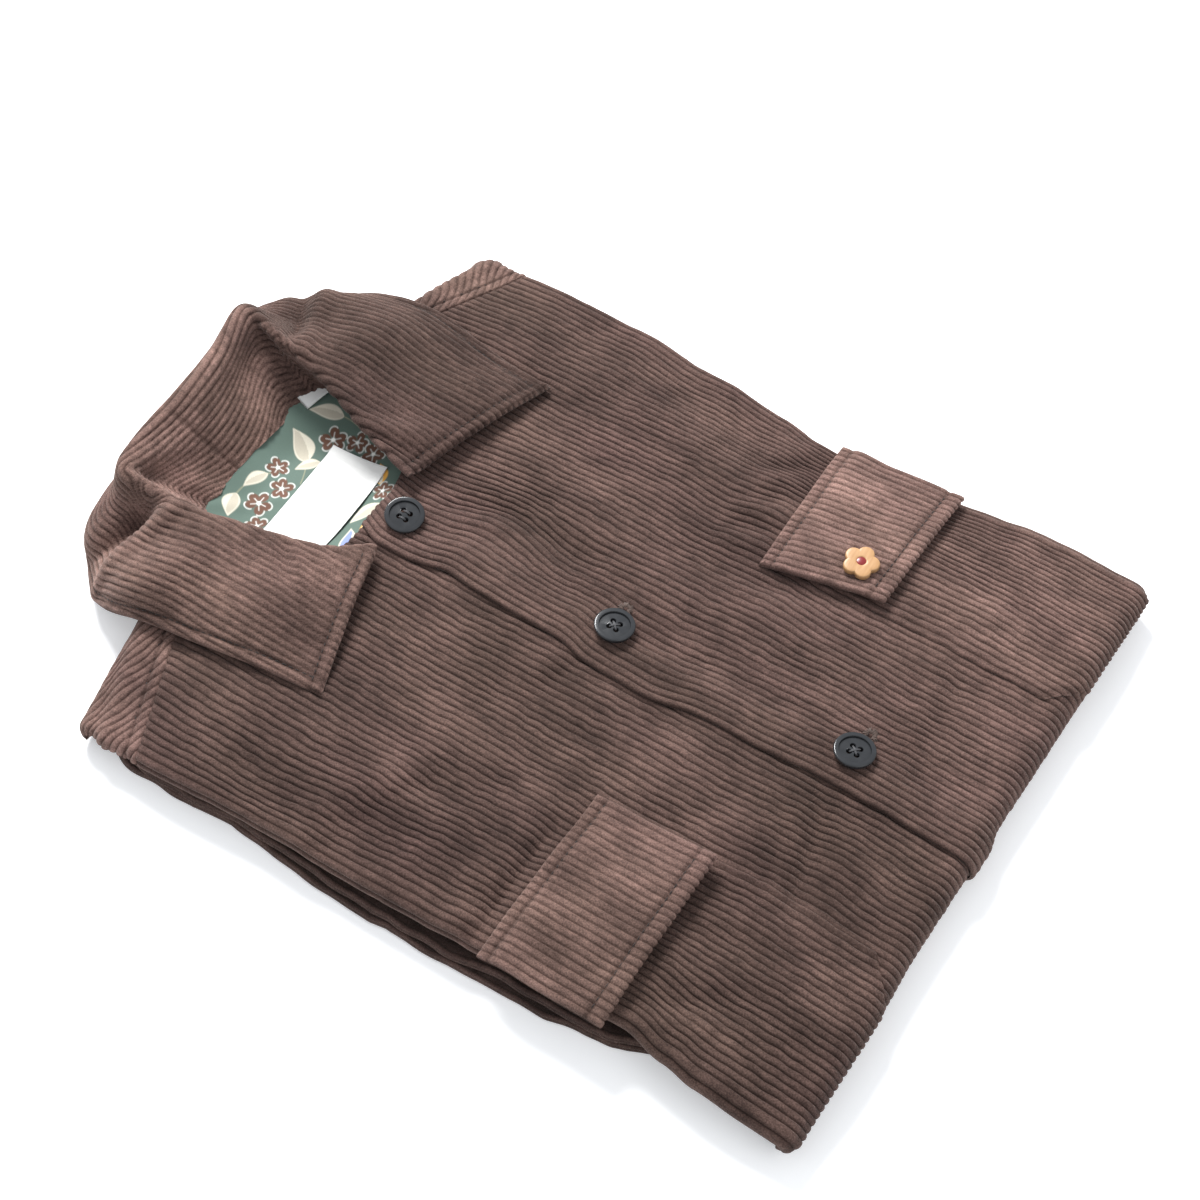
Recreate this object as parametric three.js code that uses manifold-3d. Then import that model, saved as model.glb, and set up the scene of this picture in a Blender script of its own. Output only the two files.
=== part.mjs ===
// A men's corduroy shirt jacket, buttoned and folded into a flat bundle, lying front up on a table.
// Millimetres. X runs across the bundle towards the wearer's left, Y towards the collar, Z up from the table.
// Every cloth piece is a wall laid over one smooth support: place() puts a point of the cloth where it lies.
import * as THREE from "three";
import { mergeVertices } from "three/addons/utils/BufferGeometryUtils.js";
import Module from "manifold-3d";

const { clamp, smoothstep, lerp, degToRad } = THREE.MathUtils;
const wasm = await Module();
wasm.setup();

// The cloth
const WALE = 3.5; // pitch of the corduroy's ribs
const RIB = 0.7; // a rib's height over its groove
const WALL = 1.3; // cloth thickness at a groove
const GAP = 0.3; // clearance between pieces that touch
const LAYER = WALL + RIB + 2 * GAP; // what one more layer of cloth adds to the pile

// The bundle, laid out from a zero line across the pocket's upper edge
const STACK = 22.5; // height of the folded layers under the fronts, in the middle
const MID_LENGTH = 19.5; // the bundle's middle, measured from the zero line
const SIDE_RADIUS = 3.8; // the fronts' turn at the bundle's sides
const HALF_WIDTH = 160; // nominal half width of the cloth on top of the bundle
const EASE_FROM = 110; // past this the cloth is eased to the bundle's real side
const SIDE_REACH = 5; // how far past the nominal half width the fronts go
const HEM_FOLD = 199; // where the bundle is folded across
const HEM_SLANT = -0.052; // the fold isn't quite square to the bundle
const HEM_RADIUS = 7.5;
const CORNER_RADIUS = 6.2; // the same turn at the bundle's corners, where the pile is lower
const HEM_TURN = 2.8;
const SHOULDER_FOLD = 189;
const SHOULDER_SLOPE = 0.2;
const SHOULDER_RADIUS = 6.6;
const SHOULDER_TURN = 2.3;
const EDGE_DROOP = 4; // how much lower the pile is at its sides
const END_DROOP = 2.6; // and at its hem fold
const SHOULDER_DROOP = 4.2;
const NECK = { x: -7, y: 156, halfWidth: 50, halfLength: 39, depth: 7.5, power: 2.6 };
const LOW_LAYERS = 10; // height of the sleeves and back folded under the bundle
const FOLD_ROOM = 2.7; // the hidden layers stay this far under the fronts, for their folds

// Half widths of the layers under the fronts, on the wearer's right and left
const SIDES = [
  { y: 190, right: 161, left: 158 },
  { y: 130, right: 161, left: 159 },
  { y: 70, right: 159.5, left: 158 },
  { y: 20, right: 159, left: 153 },
  { y: -20, right: 158.5, left: 148.5 },
  { y: -44, right: 157, left: 142.5 },
  { y: -80, right: 153.5, left: 143.5 },
  { y: -115, right: 151.5, left: 146.5 },
  { y: -140, right: 151, left: 149.5 },
  { y: -175, right: 153.5, left: 151.5 },
  { y: -205, right: 153.5, left: 152 },
];

// Rows of the fronts' points along the body, between which they are straight
const STATIONS = [84, 50, 16, -18, -52, -68, -112, -130, -150, -170];

// The largest folds of the fronts: ridges have a positive height and troughs a negative one
const FOLDS = [
  { x: -135, y: 43, angle: -26, length: 40, width: 12, height: 1.8 },
  { x: -122, y: 20, angle: -28, length: 38, width: 12, height: -1.7 },
  { x: -60, y: -8, angle: 62, length: 32, width: 12, height: -1.2 },
  { x: -118, y: -32, angle: -3, length: 46, width: 12, height: 1.4 },
  { x: -58, y: -122, angle: 13, length: 36, width: 12, height: 1.5 },
  { x: -52, y: -144, angle: 13, length: 34, width: 12, height: -1.8 },
  { x: 30, y: 46, angle: 79, length: 38, width: 11, height: -1.8 },
  { x: 52, y: 56, angle: 76, length: 40, width: 12, height: 1.5 },
  { x: 62, y: -56, angle: -80, length: 38, width: 11, height: -1.7 },
  { x: 40, y: -54, angle: -80, length: 40, width: 12, height: 1.2 },
  { x: 131, y: 0, angle: 80, length: 44, width: 12, height: -1.8 },
  { x: 105, y: 6, angle: 82, length: 44, width: 12, height: 1.3 },
  { x: 108, y: -36, angle: -4, length: 42, width: 12, height: 1.3 },
];

// The collar, one row for each section round the neck from the wearer's right to left.
// neck is its seam, roll the line it folds over and edge its free edge.
// puff and swell lift the fall at a third and two thirds of its width.
const COLLAR = [
  { neck: [-29, 108, 26.6], roll: [-23, 101, 31.5], edge: [-98, 79, 26.7], puff: 1.5, swell: 1.5 },
  { neck: [-41, 121, 26], roll: [-35, 115, 33.5], edge: [-100, 98, 26.6], puff: 3, swell: 3 },
  { neck: [-49, 138, 24.4], roll: [-43, 133, 36], edge: [-103, 122, 26.5], puff: 5, swell: 5 },
  { neck: [-53, 158, 20.5], roll: [-49, 154, 39.5], edge: [-107, 148, 26.2], puff: 6, swell: 7 },
  { neck: [-54, 174, 18], roll: [-56, 173, 43], edge: [-110, 172, 25.4], puff: 4, swell: 8 },
  { neck: [-50, 185, 17], roll: [-64, 190, 46.5], edge: [-112, 194, 18], puff: -2, swell: 8 },
  { neck: [-42, 190, 15.5], roll: [-71, 208, 50], edge: [-110, 213, 9], puff: -5, swell: 10 },
  { neck: [-34, 192, 14], roll: [-72, 223, 51], edge: [-100, 229, 4], puff: -2, swell: 9 },
  { neck: [-25, 193, 14], roll: [-62, 232, 51], edge: [-78, 242, 2.5], puff: 2, swell: 5 },
  { neck: [-16, 193, 14], roll: [-38, 235, 50], edge: [-46, 246, 2.2], puff: 3, swell: 3 },
  { neck: [-6, 193, 14], roll: [-8, 236, 49], edge: [-10, 248, 2.2], puff: 3, swell: 3 },
  { neck: [6, 192, 14], roll: [22, 238, 49.5], edge: [28, 249, 2.2], puff: 3, swell: 3 },
  { neck: [18, 191, 14], roll: [44, 239, 51], edge: [62, 246, 2.5], puff: 2, swell: 5 },
  { neck: [28, 189, 15.5], roll: [47, 224, 50], edge: [84, 232, 6], puff: 1, swell: 9 },
  { neck: [36, 184, 17], roll: [43, 207, 47.5], edge: [100, 213, 13], puff: -2, swell: 10 },
  { neck: [39, 173, 18], roll: [38, 188, 44], edge: [109, 192, 21.5], puff: 4, swell: 9 },
  { neck: [39, 160, 20.5], roll: [33, 168, 40], edge: [111, 168, 25.8], puff: 6, swell: 7 },
  { neck: [35, 145, 24.2], roll: [29, 148, 36.5], edge: [108, 140, 26.4], puff: 5, swell: 5 },
  { neck: [30, 130, 26], roll: [24, 129, 34], edge: [104, 113, 26.6], puff: 3, swell: 3.5 },
  { neck: [24, 118, 26.6], roll: [19, 111, 31.5], edge: [101, 85, 26.7], puff: 1.5, swell: 2 },
];
const COLLAR_HALF = 1.2; // half the thickness of its two layers
const COLLAR_SECTIONS = 15;
const STAND_WALES = 13; // ribs from the neck seam to the roll line, and from there to the free edge
const FALL_WALES = 19;
const FINE_WALE = 1.2; // where the ribs crowd closer than this, they fade out

// Seams between the fronts and the shoulder yokes: a line through a point, up to a highest place at the neck
const YOKE_SEAMS = {
  right: { x: -108, y: 156, slope: 0.42, most: 168 },
  left: { x: 113, y: 163, slope: -0.5, most: 172 },
};
const YOKES = { right: { inner: -72, outer: -159 }, left: { inner: 66, outer: 159 } };
const YOKE_SECTIONS = 6;
const YOKE_WALES = 12;

// Pocket flaps and patch pockets: corners on the cloth, as [across, along]
const FLAPS = {
  right: { topIn: [-74, -52], topOut: [-162, -47], lowIn: [-74.5, -112], lowOut: [-162, -108] },
  left: { topIn: [67, -52], topOut: [150, -53], lowIn: [76, -112], lowOut: [154, -117] },
};
const POCKETS = {
  right: { inner: -75.5, outer: -163, cut: 21 },
  left: { inner: 73.5, outer: 163, cut: 18 },
};
const POCKET_TOP = -68; // under its flap
const FLAP_THICK = 2;
const FLAP_RISE = 0.8; // how far its free inner corner stands off
const FLAP_OVERHANG = -0.2; // slope of a flap past the bundle's side

// Buttons, a flower-shaped one on the left flap, the neck's lining and its labels
const BUTTONS = [
  { x: -0.5, y: 101.5, tilt: [2, 6] },
  { x: 0.5, y: -14, tilt: [1, 8] },
  { x: 2, y: -137, tilt: [-2, 9] },
];
const BUTTON = { radius: 9.6, thick: 3.2, rim: 1.7, dish: 0.9, hole: 1.05, holeSpread: 1.9 };
const FLOWER = { x: 87, y: -94, radius: 8.8, petals: 5, scallop: 0.13, thick: 2.8, eye: 1.9 };
const LINING = { x: -7, y: 154.5, halfWidth: 45, halfLength: 36, power: 2.6, thick: 0.9 };
const LABEL = { x: -8, y: 146, width: 64, height: 33, thick: 0.7 };
const SIZE_TAB = { x: 22, y: 174, width: 15, height: 8, thick: 1.4, angle: -12 };

const COLOURS = {
  cloth: 0x5a473f,
  layers: 0x4a3a34,
  lining: 0x5e7a70,
  label: 0xf1efe8,
  button: 0x1b1c1f,
  flower: 0xd9a25c,
};

// Shape of the pile under the fronts
function foldHeight(x, y) {
  let sum = 0;
  for (const f of FOLDS) {
    const turn = degToRad(f.angle);
    const along = (x - f.x) * Math.cos(turn) + (y - f.y) * Math.sin(turn);
    const across = (y - f.y) * Math.cos(turn) - (x - f.x) * Math.sin(turn);
    sum += f.height * Math.exp(-((along / f.length) ** 4) - (across / f.width) ** 2);
  }
  return sum;
}

function superRadius(dx, dy, a, b, power) {
  return (Math.abs(dx / a) ** power + Math.abs(dy / b) ** power) ** (1 / power);
}

function neckHollow(x, y) {
  const out = superRadius(x - NECK.x, y - NECK.y, NECK.halfWidth, NECK.halfLength, NECK.power);
  return NECK.depth * (1 - smoothstep(out, 0.5, 1.15));
}

// How far the side, the hem fold and the shoulder fold lie from the middle
function sideEdge(x, y) {
  const key = x < 0 ? "right" : "left";
  if (y >= SIDES[0].y) return SIDES[0][key];
  for (let k = 0; k + 1 < SIDES.length; k++) {
    const [a, b] = [SIDES[k], SIDES[k + 1]];
    if (y >= b.y) return lerp(b[key], a[key], smoothstep(y, b.y, a.y));
  }
  return SIDES.at(-1)[key];
}

// The narrowest the bundle is near a line across it
function narrowEdge(x, y) {
  return Math.min(...[-18, -9, 0, 9, 18].map((step) => sideEdge(x, y + step)));
}

function hemEdge(x) {
  return -HEM_FOLD + HEM_SLANT * x;
}

function hemRadius(x) {
  return lerp(HEM_RADIUS, CORNER_RADIUS, smoothstep(Math.abs(x), 110, 156));
}

function shoulderEdge(x) {
  return SHOULDER_FOLD - SHOULDER_SLOPE * Math.max(0, Math.abs(x) - 50);
}

function smoothPile(x, y, folds = 1) {
  const side = EDGE_DROOP * smoothstep(Math.abs(x), 112, 158);
  const hem = END_DROOP * smoothstep(-y, 150, 195);
  const shoulder = SHOULDER_DROOP * smoothstep(y, 105, 178);
  const fade = (1 - smoothstep(-y, 162, 186)) * (1 - smoothstep(y, 88, 112));
  return STACK - side - hem - shoulder - neckHollow(x, y) + folds * fade * foldHeight(x, y);
}

// The pile's height, straight between stations, so that layers of cloth fit on each other
function pileHeight(x, y) {
  for (let k = 0; k + 1 < STATIONS.length; k++) {
    const [a, b] = [STATIONS[k], STATIONS[k + 1]];
    if (y <= a && y >= b) return lerp(smoothPile(x, b), smoothPile(x, a), (y - b) / (a - b));
  }
  return smoothPile(x, y);
}

// Where a point of the cloth lies: across and along are measured on the cloth, lift is its height off it.
// Past the folds at the sides, hem and shoulder, the cloth turns down and under.
function place(across, along, lift) {
  const side = Math.sign(across) || 1;
  const edge = sideEdge(across, along);
  const turnAt = edge - SIDE_RADIUS;
  const eased = Math.max(0, Math.abs(across) - EASE_FROM) * ((edge - EASE_FROM) / (HALF_WIDTH - EASE_FROM));
  const reach = Math.min(Math.abs(across), EASE_FROM) + eased;
  const past = reach - turnAt;
  let x = side * reach;
  let h = lift;
  if (past > 0) {
    const angle = past / (SIDE_RADIUS + 1);
    x = side * (turnAt + (SIDE_RADIUS + lift) * Math.sin(angle));
    h = (SIDE_RADIUS + lift) * Math.cos(angle) - SIDE_RADIUS;
  }
  const flatX = side * Math.min(reach, turnAt);
  const radius = hemRadius(flatX);
  const hem = hemEdge(flatX) + radius;
  const shoulder = shoulderEdge(flatX) - SHOULDER_RADIUS;
  const pile = pileHeight(flatX, clamp(along, hem, shoulder));
  if (along < hem) {
    const angle = Math.min((hem - along) / (radius + 1), HEM_TURN);
    const out = radius + h;
    return new THREE.Vector3(x, hem - out * Math.sin(angle), pile - radius + out * Math.cos(angle));
  }
  if (along > shoulder) {
    const angle = Math.min((along - shoulder) / (SHOULDER_RADIUS + 1), SHOULDER_TURN);
    const out = SHOULDER_RADIUS + h;
    const centre = pile - SHOULDER_RADIUS;
    return new THREE.Vector3(x, shoulder + out * Math.sin(angle), centre + out * Math.cos(angle));
  }
  return new THREE.Vector3(x, along, pile + h);
}

// A closed wall from two grids of points. keep says which columns the plain inside needs.
function wallGeometry(outer, inner, keep) {
  const rows = outer.length;
  const last = outer[0].length - 1;
  const kept = [];
  for (let i = 0; i <= last; i++) if (i === 0 || i === last || keep(i)) kept.push(i);
  const points = [];
  const faces = [];
  const outAt = outer.map((row) => row.map((p) => points.push(p) - 1));
  const inAt = inner.map((row) => new Map(kept.map((i) => [i, points.push(row[i]) - 1])));
  for (let j = 0; j + 1 < rows; j++) {
    for (let i = 0; i < last; i++) {
      faces.push([outAt[j][i], outAt[j][i + 1], outAt[j + 1][i + 1]]);
      faces.push([outAt[j][i], outAt[j + 1][i + 1], outAt[j + 1][i]]);
    }
    for (let k = 0; k + 1 < kept.length; k++) {
      const [a, b] = [kept[k], kept[k + 1]];
      faces.push([inAt[j].get(a), inAt[j + 1].get(b), inAt[j].get(b)]);
      faces.push([inAt[j].get(a), inAt[j + 1].get(a), inAt[j + 1].get(b)]);
    }
    faces.push([outAt[j][0], outAt[j + 1][0], inAt[j + 1].get(0)]);
    faces.push([outAt[j][0], inAt[j + 1].get(0), inAt[j].get(0)]);
    faces.push([outAt[j][last], inAt[j + 1].get(last), outAt[j + 1][last]]);
    faces.push([outAt[j][last], inAt[j].get(last), inAt[j + 1].get(last)]);
  }
  for (const [j, flip] of [[0, false], [rows - 1, true]]) {
    for (let k = 0; k + 1 < kept.length; k++) {
      const [a, b] = [kept[k], kept[k + 1]];
      const rim = [];
      for (let i = a; i < b; i++) rim.push([outAt[j][i], inAt[j].get(a), outAt[j][i + 1]]);
      rim.push([outAt[j][b], inAt[j].get(a), inAt[j].get(b)]);
      for (const f of rim) faces.push(flip ? [f[0], f[2], f[1]] : f);
    }
  }
  return closedGeometry(points, faces);
}

// A geometry from points and faces, turned so that its faces point outwards
function closedGeometry(points, faces) {
  let volume = 0;
  for (const [a, b, c] of faces) volume += points[a].dot(points[b].clone().cross(points[c]));
  const index = faces.flatMap(([a, b, c]) => (volume < 0 ? [a, c, b] : [a, b, c]));
  const geometry = new THREE.BufferGeometry();
  const numbers = points.flatMap((p) => [p.x, p.y, p.z]);
  geometry.setAttribute("position", new THREE.Float32BufferAttribute(numbers, 3));
  geometry.setIndex(index);
  geometry.computeVertexNormals();
  return geometry;
}

function material(colour, roughness = 0.95, metalness = 0) {
  return new THREE.MeshStandardMaterial({ color: colour, roughness, metalness, flatShading: true });
}

function named(name, geometry, finish) {
  const mesh = new THREE.Mesh(geometry, finish);
  mesh.name = name;
  return mesh;
}

// Ribbed cloth laid on the pile: columns follow the ribs, a crest between each two grooves.
// The plain inside keeps each eighth column or so, and more of them where dense says so.
function ribbedPanel({ from, to, rows, lift, dense, every = 2, inside = 4 }) {
  const wales = Math.round(Math.abs(to - from) / WALE);
  const columns = 2 * wales + 1;
  const outer = [];
  const inner = [];
  for (const row of rows) {
    const out = [];
    const back = [];
    for (let i = 0; i < columns; i++) {
      const across = lerp(from, to, i / (columns - 1));
      const along = row(across);
      const base = lift(across, along);
      out.push(place(across, along, base + WALL + (i % 2 ? RIB : 0)));
      back.push(place(across, along, base));
    }
    outer.push(out);
    inner.push(back);
  }
  const keep = (i) => i % (2 * inside) === 0 || (i % every === 0 && dense(lerp(from, to, i / (columns - 1))));
  return wallGeometry(outer, inner, keep);
}

// Rows past a side's turn have to be close together, inside the wall too
const nearSide = (across) => Math.abs(across) > HALF_WIDTH - SIDE_RADIUS - 2;

// The fronts end at the yoke's seam, and round the neck
function yokeSeam(across) {
  const { x, y, slope, most } = across < 0 ? YOKE_SEAMS.right : YOKE_SEAMS.left;
  return Math.min(y + slope * (across - x), most);
}

function frontTop(across) {
  const seam = yokeSeam(across);
  const dx = Math.abs(across - NECK.x) / NECK.halfWidth;
  if (dx >= 1) return lerp(NECK.y, seam, smoothstep(dx, 1, 1.15));
  return NECK.y - NECK.halfLength * (1 - dx ** NECK.power) ** (1 / NECK.power);
}

const HEM_STEPS = 4;

function hemRow(step) {
  return (across) => {
    const x = clamp(across, -150, 150);
    return hemEdge(x) + hemRadius(x) - (HEM_TURN * (hemRadius(x) + 1) * step) / HEM_STEPS;
  };
}

function frontRows() {
  const flat = STATIONS.map((y) => () => y);
  const hem = [];
  for (let k = 0; k <= HEM_STEPS; k++) hem.push(hemRow(k));
  return [(across) => frontTop(across) - 1.2, ...flat, ...hem];
}

const PLACKET_EDGE = -17.5;
const UNDERLAP = -6;

// The left front climbs over the right one at the placket
function leftFrontLift(across) {
  return GAP + LAYER * (1 - smoothstep(across, UNDERLAP + 1, UNDERLAP + 16));
}

function rightFront() {
  return ribbedPanel({
    from: -HALF_WIDTH - SIDE_REACH,
    to: UNDERLAP,
    rows: frontRows(),
    lift: () => GAP,
    dense: nearSide,
  });
}

function leftFront() {
  return ribbedPanel({
    from: PLACKET_EDGE,
    to: HALF_WIDTH + SIDE_REACH,
    rows: frontRows(),
    lift: leftFrontLift,
    dense: (across) => nearSide(across) || across < UNDERLAP + 18,
  });
}

// Shoulder yoke: runs from its seam with the front over the shoulder fold, with its ribs along the seam
function yoke(side) {
  const { inner: from, outer: to } = YOKES[side];
  const columns = 2 * YOKE_WALES;
  const outer = [];
  const inner = [];
  for (let j = 0; j <= YOKE_SECTIONS; j++) {
    const across = lerp(from, to, j / YOKE_SECTIONS);
    const seam = frontTop(across) + 2 * GAP;
    const end = shoulderEdge(across) - SHOULDER_RADIUS + SHOULDER_TURN * (SHOULDER_RADIUS + 1);
    const out = [];
    const back = [];
    for (let i = 0; i <= columns; i++) {
      const along = lerp(seam, end, i / columns);
      out.push(place(across, along, GAP + WALL + (i % 2 ? RIB : 0)));
      back.push(place(across, along, GAP));
    }
    outer.push(out);
    inner.push(back);
  }
  return wallGeometry(outer, inner, (i) => i % 2 === 0);
}

// Patch pocket on a front, with its lower inner corner cut off, round the hem fold
function pocket(side) {
  const { inner, outer, cut } = POCKETS[side];
  const rows = STATIONS.filter((y) => y <= POCKET_TOP).map((y) => () => y);
  const steps = 3;
  for (let k = 0; k <= steps; k++) {
    rows.push((across) => {
      const inset = clamp(1 - Math.abs(across - inner) / cut, 0, 1);
      const first = hemRow(0)(across);
      const last = lerp(hemRow(HEM_STEPS / 2)(across), first - 1.5, inset);
      return lerp(first, last, k / steps);
    });
  }
  return ribbedPanel({
    from: inner,
    to: outer,
    rows,
    lift: () => 2 * GAP + LAYER,
    inside: 3,
    dense: nearSide,
    every: 1,
  });
}

// Pocket flap: sewn down along its top, it lies on the pocket and stands out straight at the bundle's side
function flap(side) {
  const { topIn, topOut, lowIn, lowOut } = FLAPS[side];
  const wales = Math.round(Math.abs(topOut[0] - topIn[0]) / WALE);
  const steps = [0, 0.1, 0.27, 1];
  const outer = [];
  const inner = [];
  for (const t of steps) {
    const out = [];
    const back = [];
    for (let i = 0; i <= 2 * wales; i++) {
      const s = i / (2 * wales);
      const across = lerp(lerp(topIn[0], topOut[0], s), lerp(lowIn[0], lowOut[0], s), t);
      const along = lerp(lerp(topIn[1], topOut[1], s), lerp(lowIn[1], lowOut[1], s), t);
      const turnAt = sideEdge(across, along) - SIDE_RADIUS;
      const past = Math.max(0, Math.abs(across) - turnAt);
      const lift = GAP + LAYER + (LAYER + 2 * GAP) * smoothstep(t, 0, 0.25) + FLAP_RISE * t * (1 - s);
      const point = place(clamp(across, -turnAt, turnAt), along, lift);
      point.x = across;
      point.z += FLAP_OVERHANG * past;
      back.push(point);
      out.push(point.clone().setZ(point.z + FLAP_THICK + (i % 2 ? RIB : 0)));
    }
    outer.push(out);
    inner.push(back);
  }
  return wallGeometry(outer, inner, (i) => i % 4 === 0);
}

// The collar's own sections: a curve from the neck seam over the roll line to the free edge
function collarSection(t) {
  const last = COLLAR.length - 1;
  const row = Math.min(Math.floor(t * last), last - 1);
  const at = (key) => {
    const values = [-1, 0, 1, 2].map((k) => COLLAR[clamp(row + k, 0, last)][key]);
    return cubic(values, t * last - row);
  };
  const neck = new THREE.Vector3(...at("neck"));
  const roll = new THREE.Vector3(...at("roll"));
  const edge = new THREE.Vector3(...at("edge"));
  const fall = edge.clone().sub(roll).normalize();
  const up = new THREE.Vector3(0, 0, 1);
  up.addScaledVector(fall, -up.dot(fall)).normalize();
  const stand = neck.clone().lerp(roll, 0.6);
  const puff = roll.clone().lerp(edge, 0.33).addScaledVector(up, at("puff"));
  const swell = roll.clone().lerp(edge, 0.67).addScaledVector(up, at("swell"));
  const curve = new THREE.CatmullRomCurve3([neck, stand, roll, puff, swell, edge], false, "centripetal");
  const rollAt = 2 / 5;
  const columns = 2 * (STAND_WALES + FALL_WALES);
  const points = [];
  for (let i = 0; i <= columns; i++) {
    const standShare = i / (2 * STAND_WALES);
    const fallShare = (i - 2 * STAND_WALES) / (2 * FALL_WALES);
    points.push(curve.getPoint(standShare < 1 ? rollAt * standShare : lerp(rollAt, 1, fallShare)));
  }
  return points;
}

// A smooth curve through a table's rows: from b to c, with a before and d after them
function cubic([a, b, c, d], t) {
  if (Array.isArray(a)) return a.map((_, i) => cubic([a[i], b[i], c[i], d[i]], t));
  const bend = 2 * a - 5 * b + 4 * c - d;
  const twist = 3 * b - a - 3 * c + d;
  return b + 0.5 * ((c - a) * t + bend * t ** 2 + twist * t ** 3);
}

function collar() {
  const middle = [];
  for (let j = 0; j <= COLLAR_SECTIONS; j++) middle.push(collarSection(j / COLLAR_SECTIONS));
  const outer = [];
  const inner = [];
  for (const [j, section] of middle.entries()) {
    const out = [];
    const back = [];
    const next = middle[Math.min(j + 1, COLLAR_SECTIONS)];
    const before = middle[Math.max(j - 1, 0)];
    for (const [i, point] of section.entries()) {
      const along = next[i].clone().sub(before[i]);
      const ahead = section[Math.min(i + 1, section.length - 1)];
      const behind = section[Math.max(i - 1, 0)];
      const across = ahead.clone().sub(behind);
      const rib = i % 2 ? RIB * smoothstep(across.length(), FINE_WALE, 2 * FINE_WALE) : 0;
      const normal = along.cross(across).normalize();
      out.push(point.clone().addScaledVector(normal, -COLLAR_HALF - rib));
      back.push(point.clone().addScaledVector(normal, COLLAR_HALF));
    }
    outer.push(out);
    inner.push(back);
  }
  return wallGeometry(outer, inner, (i) => i % 4 === 0);
}

// A square with round corners, as points spread evenly round it
function roundSquare(corner, count) {
  const path = new THREE.Path();
  const flat = 1 - corner;
  path.moveTo(1, -flat);
  path.absarc(flat, flat, corner, 0, Math.PI / 2);
  path.absarc(-flat, flat, corner, Math.PI / 2, Math.PI);
  path.absarc(-flat, -flat, corner, Math.PI, 1.5 * Math.PI);
  path.absarc(flat, -flat, corner, 1.5 * Math.PI, 2 * Math.PI);
  return path.getSpacedPoints(count).slice(0, count);
}

// A closed body from a stack of rings, capped at both ends
function stackGeometry(rings) {
  const points = rings.flat();
  const n = rings[0].length;
  const faces = [];
  for (let r = 0; r + 1 < rings.length; r++) {
    for (let k = 0; k < n; k++) {
      const [a, b] = [r * n + k, r * n + ((k + 1) % n)];
      faces.push([a, b, b + n], [a, b + n, a + n]);
    }
  }
  const cap = (start, flip) => {
    const centre = rings[start].reduce((sum, p) => sum.add(p), new THREE.Vector3()).divideScalar(n);
    const at = points.push(centre) - 1;
    for (let k = 0; k < n; k++) {
      const [a, b] = [start * n + k, start * n + ((k + 1) % n)];
      faces.push(flip ? [at, b, a] : [at, a, b]);
    }
  };
  cap(0, true);
  cap(rings.length - 1, false);
  return closedGeometry(points, faces);
}

function toSolid(geometry) {
  const bare = geometry.clone();
  bare.deleteAttribute("normal");
  const merged = mergeVertices(bare, 1e-4);
  return new wasm.Manifold(
    new wasm.Mesh({
      numProp: 3,
      vertProperties: merged.attributes.position.array,
      triVerts: new Uint32Array(merged.index.array),
    }),
  );
}

function fromSolid(solid) {
  const mesh = solid.getMesh();
  const geometry = new THREE.BufferGeometry();
  geometry.setAttribute("position", new THREE.BufferAttribute(Float32Array.from(mesh.vertProperties), 3));
  geometry.setIndex(new THREE.BufferAttribute(Uint32Array.from(mesh.triVerts), 1));
  geometry.computeVertexNormals();
  return geometry;
}

// Edges of the layers under the bundle, from the table up: each layer's edge is round, with a groove over it
const LIPS = [
  { z: 0, inset: 1.8 },
  { z: 0.8, inset: 0.4 },
  { z: 3.6, inset: 0 },
  { z: 4.8, inset: 3 },
  { z: 6, inset: 0.6 },
  { z: 8.8, inset: 0.8 },
  { z: LOW_LAYERS, inset: 3.5 },
];
const LIP_ENDS = { hem: 16, shoulder: 11 }; // the lower layers end short of the folds over them
// The pile's own edge, as shares of the height from the lower layers to its top
const BROW = [
  { share: 0.05, inset: 0.4, ends: 0.8 },
  { share: 0.5, inset: 0.4, ends: 2.2 },
  { share: 0.85, inset: 2.2, ends: 3 },
];
const TOP_RINGS = [0.93, 0.78, 0.6, 0.4, 0.15];

// The layers under the fronts, as one rounded solid
function hiddenLayers() {
  const outline = roundSquare(0.1, 40);
  const point = (u, share, inset, ends) => {
    const low = hemEdge(u.x * HALF_WIDTH) + inset + ends.hem;
    const high = shoulderEdge(u.x * HALF_WIDTH) - inset - ends.shoulder;
    const y = lerp(low, high, (share * u.y + 1) / 2);
    return [share * u.x * (narrowEdge(u.x, y) - inset), y];
  };
  const top = (x, y) => Math.max(smoothPile(x, y, 0) - FOLD_ROOM, LOW_LAYERS + 0.5);
  const rings = LIPS.map(({ z, inset }) =>
    outline.map((u) => new THREE.Vector3(...point(u, 1, inset, LIP_ENDS), z)),
  );
  for (const { share, inset, ends } of BROW) {
    rings.push(
      outline.map((u) => {
        const [x, y] = point(u, 1, inset, { hem: ends, shoulder: ends });
        return new THREE.Vector3(x, y, lerp(LOW_LAYERS, top(x, y) + FOLD_ROOM * 0.6, share));
      }),
    );
  }
  for (const share of TOP_RINGS) {
    rings.push(
      outline.map((u) => {
        const [x, y] = point(u, share, 2, { hem: 3, shoulder: 3 });
        return new THREE.Vector3(x, y, top(x, y));
      }),
    );
  }
  return fromSolid(toSolid(stackGeometry(rings)).subtract(toSolid(neckWell())));
}

// Rings of points round the lining's outline, drawn in towards its middle
function liningRings(grow) {
  const { x, y, halfWidth, halfLength, power } = LINING;
  const count = 26;
  return [1, 0.75, 0.42].map((share) => {
    const ring = [];
    for (let k = 0; k < count; k++) {
      const angle = (2 * Math.PI * k) / count;
      const [c, s] = [Math.cos(angle), Math.sin(angle)];
      const radius = share / superRadius(c, s, halfWidth + grow, halfLength + grow, power);
      ring.push([x + radius * c, y + radius * s]);
    }
    return ring;
  });
}

const neckFloor = (x, y) => smoothPile(x, y, 0) - FOLD_ROOM + 2 * GAP;

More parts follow.
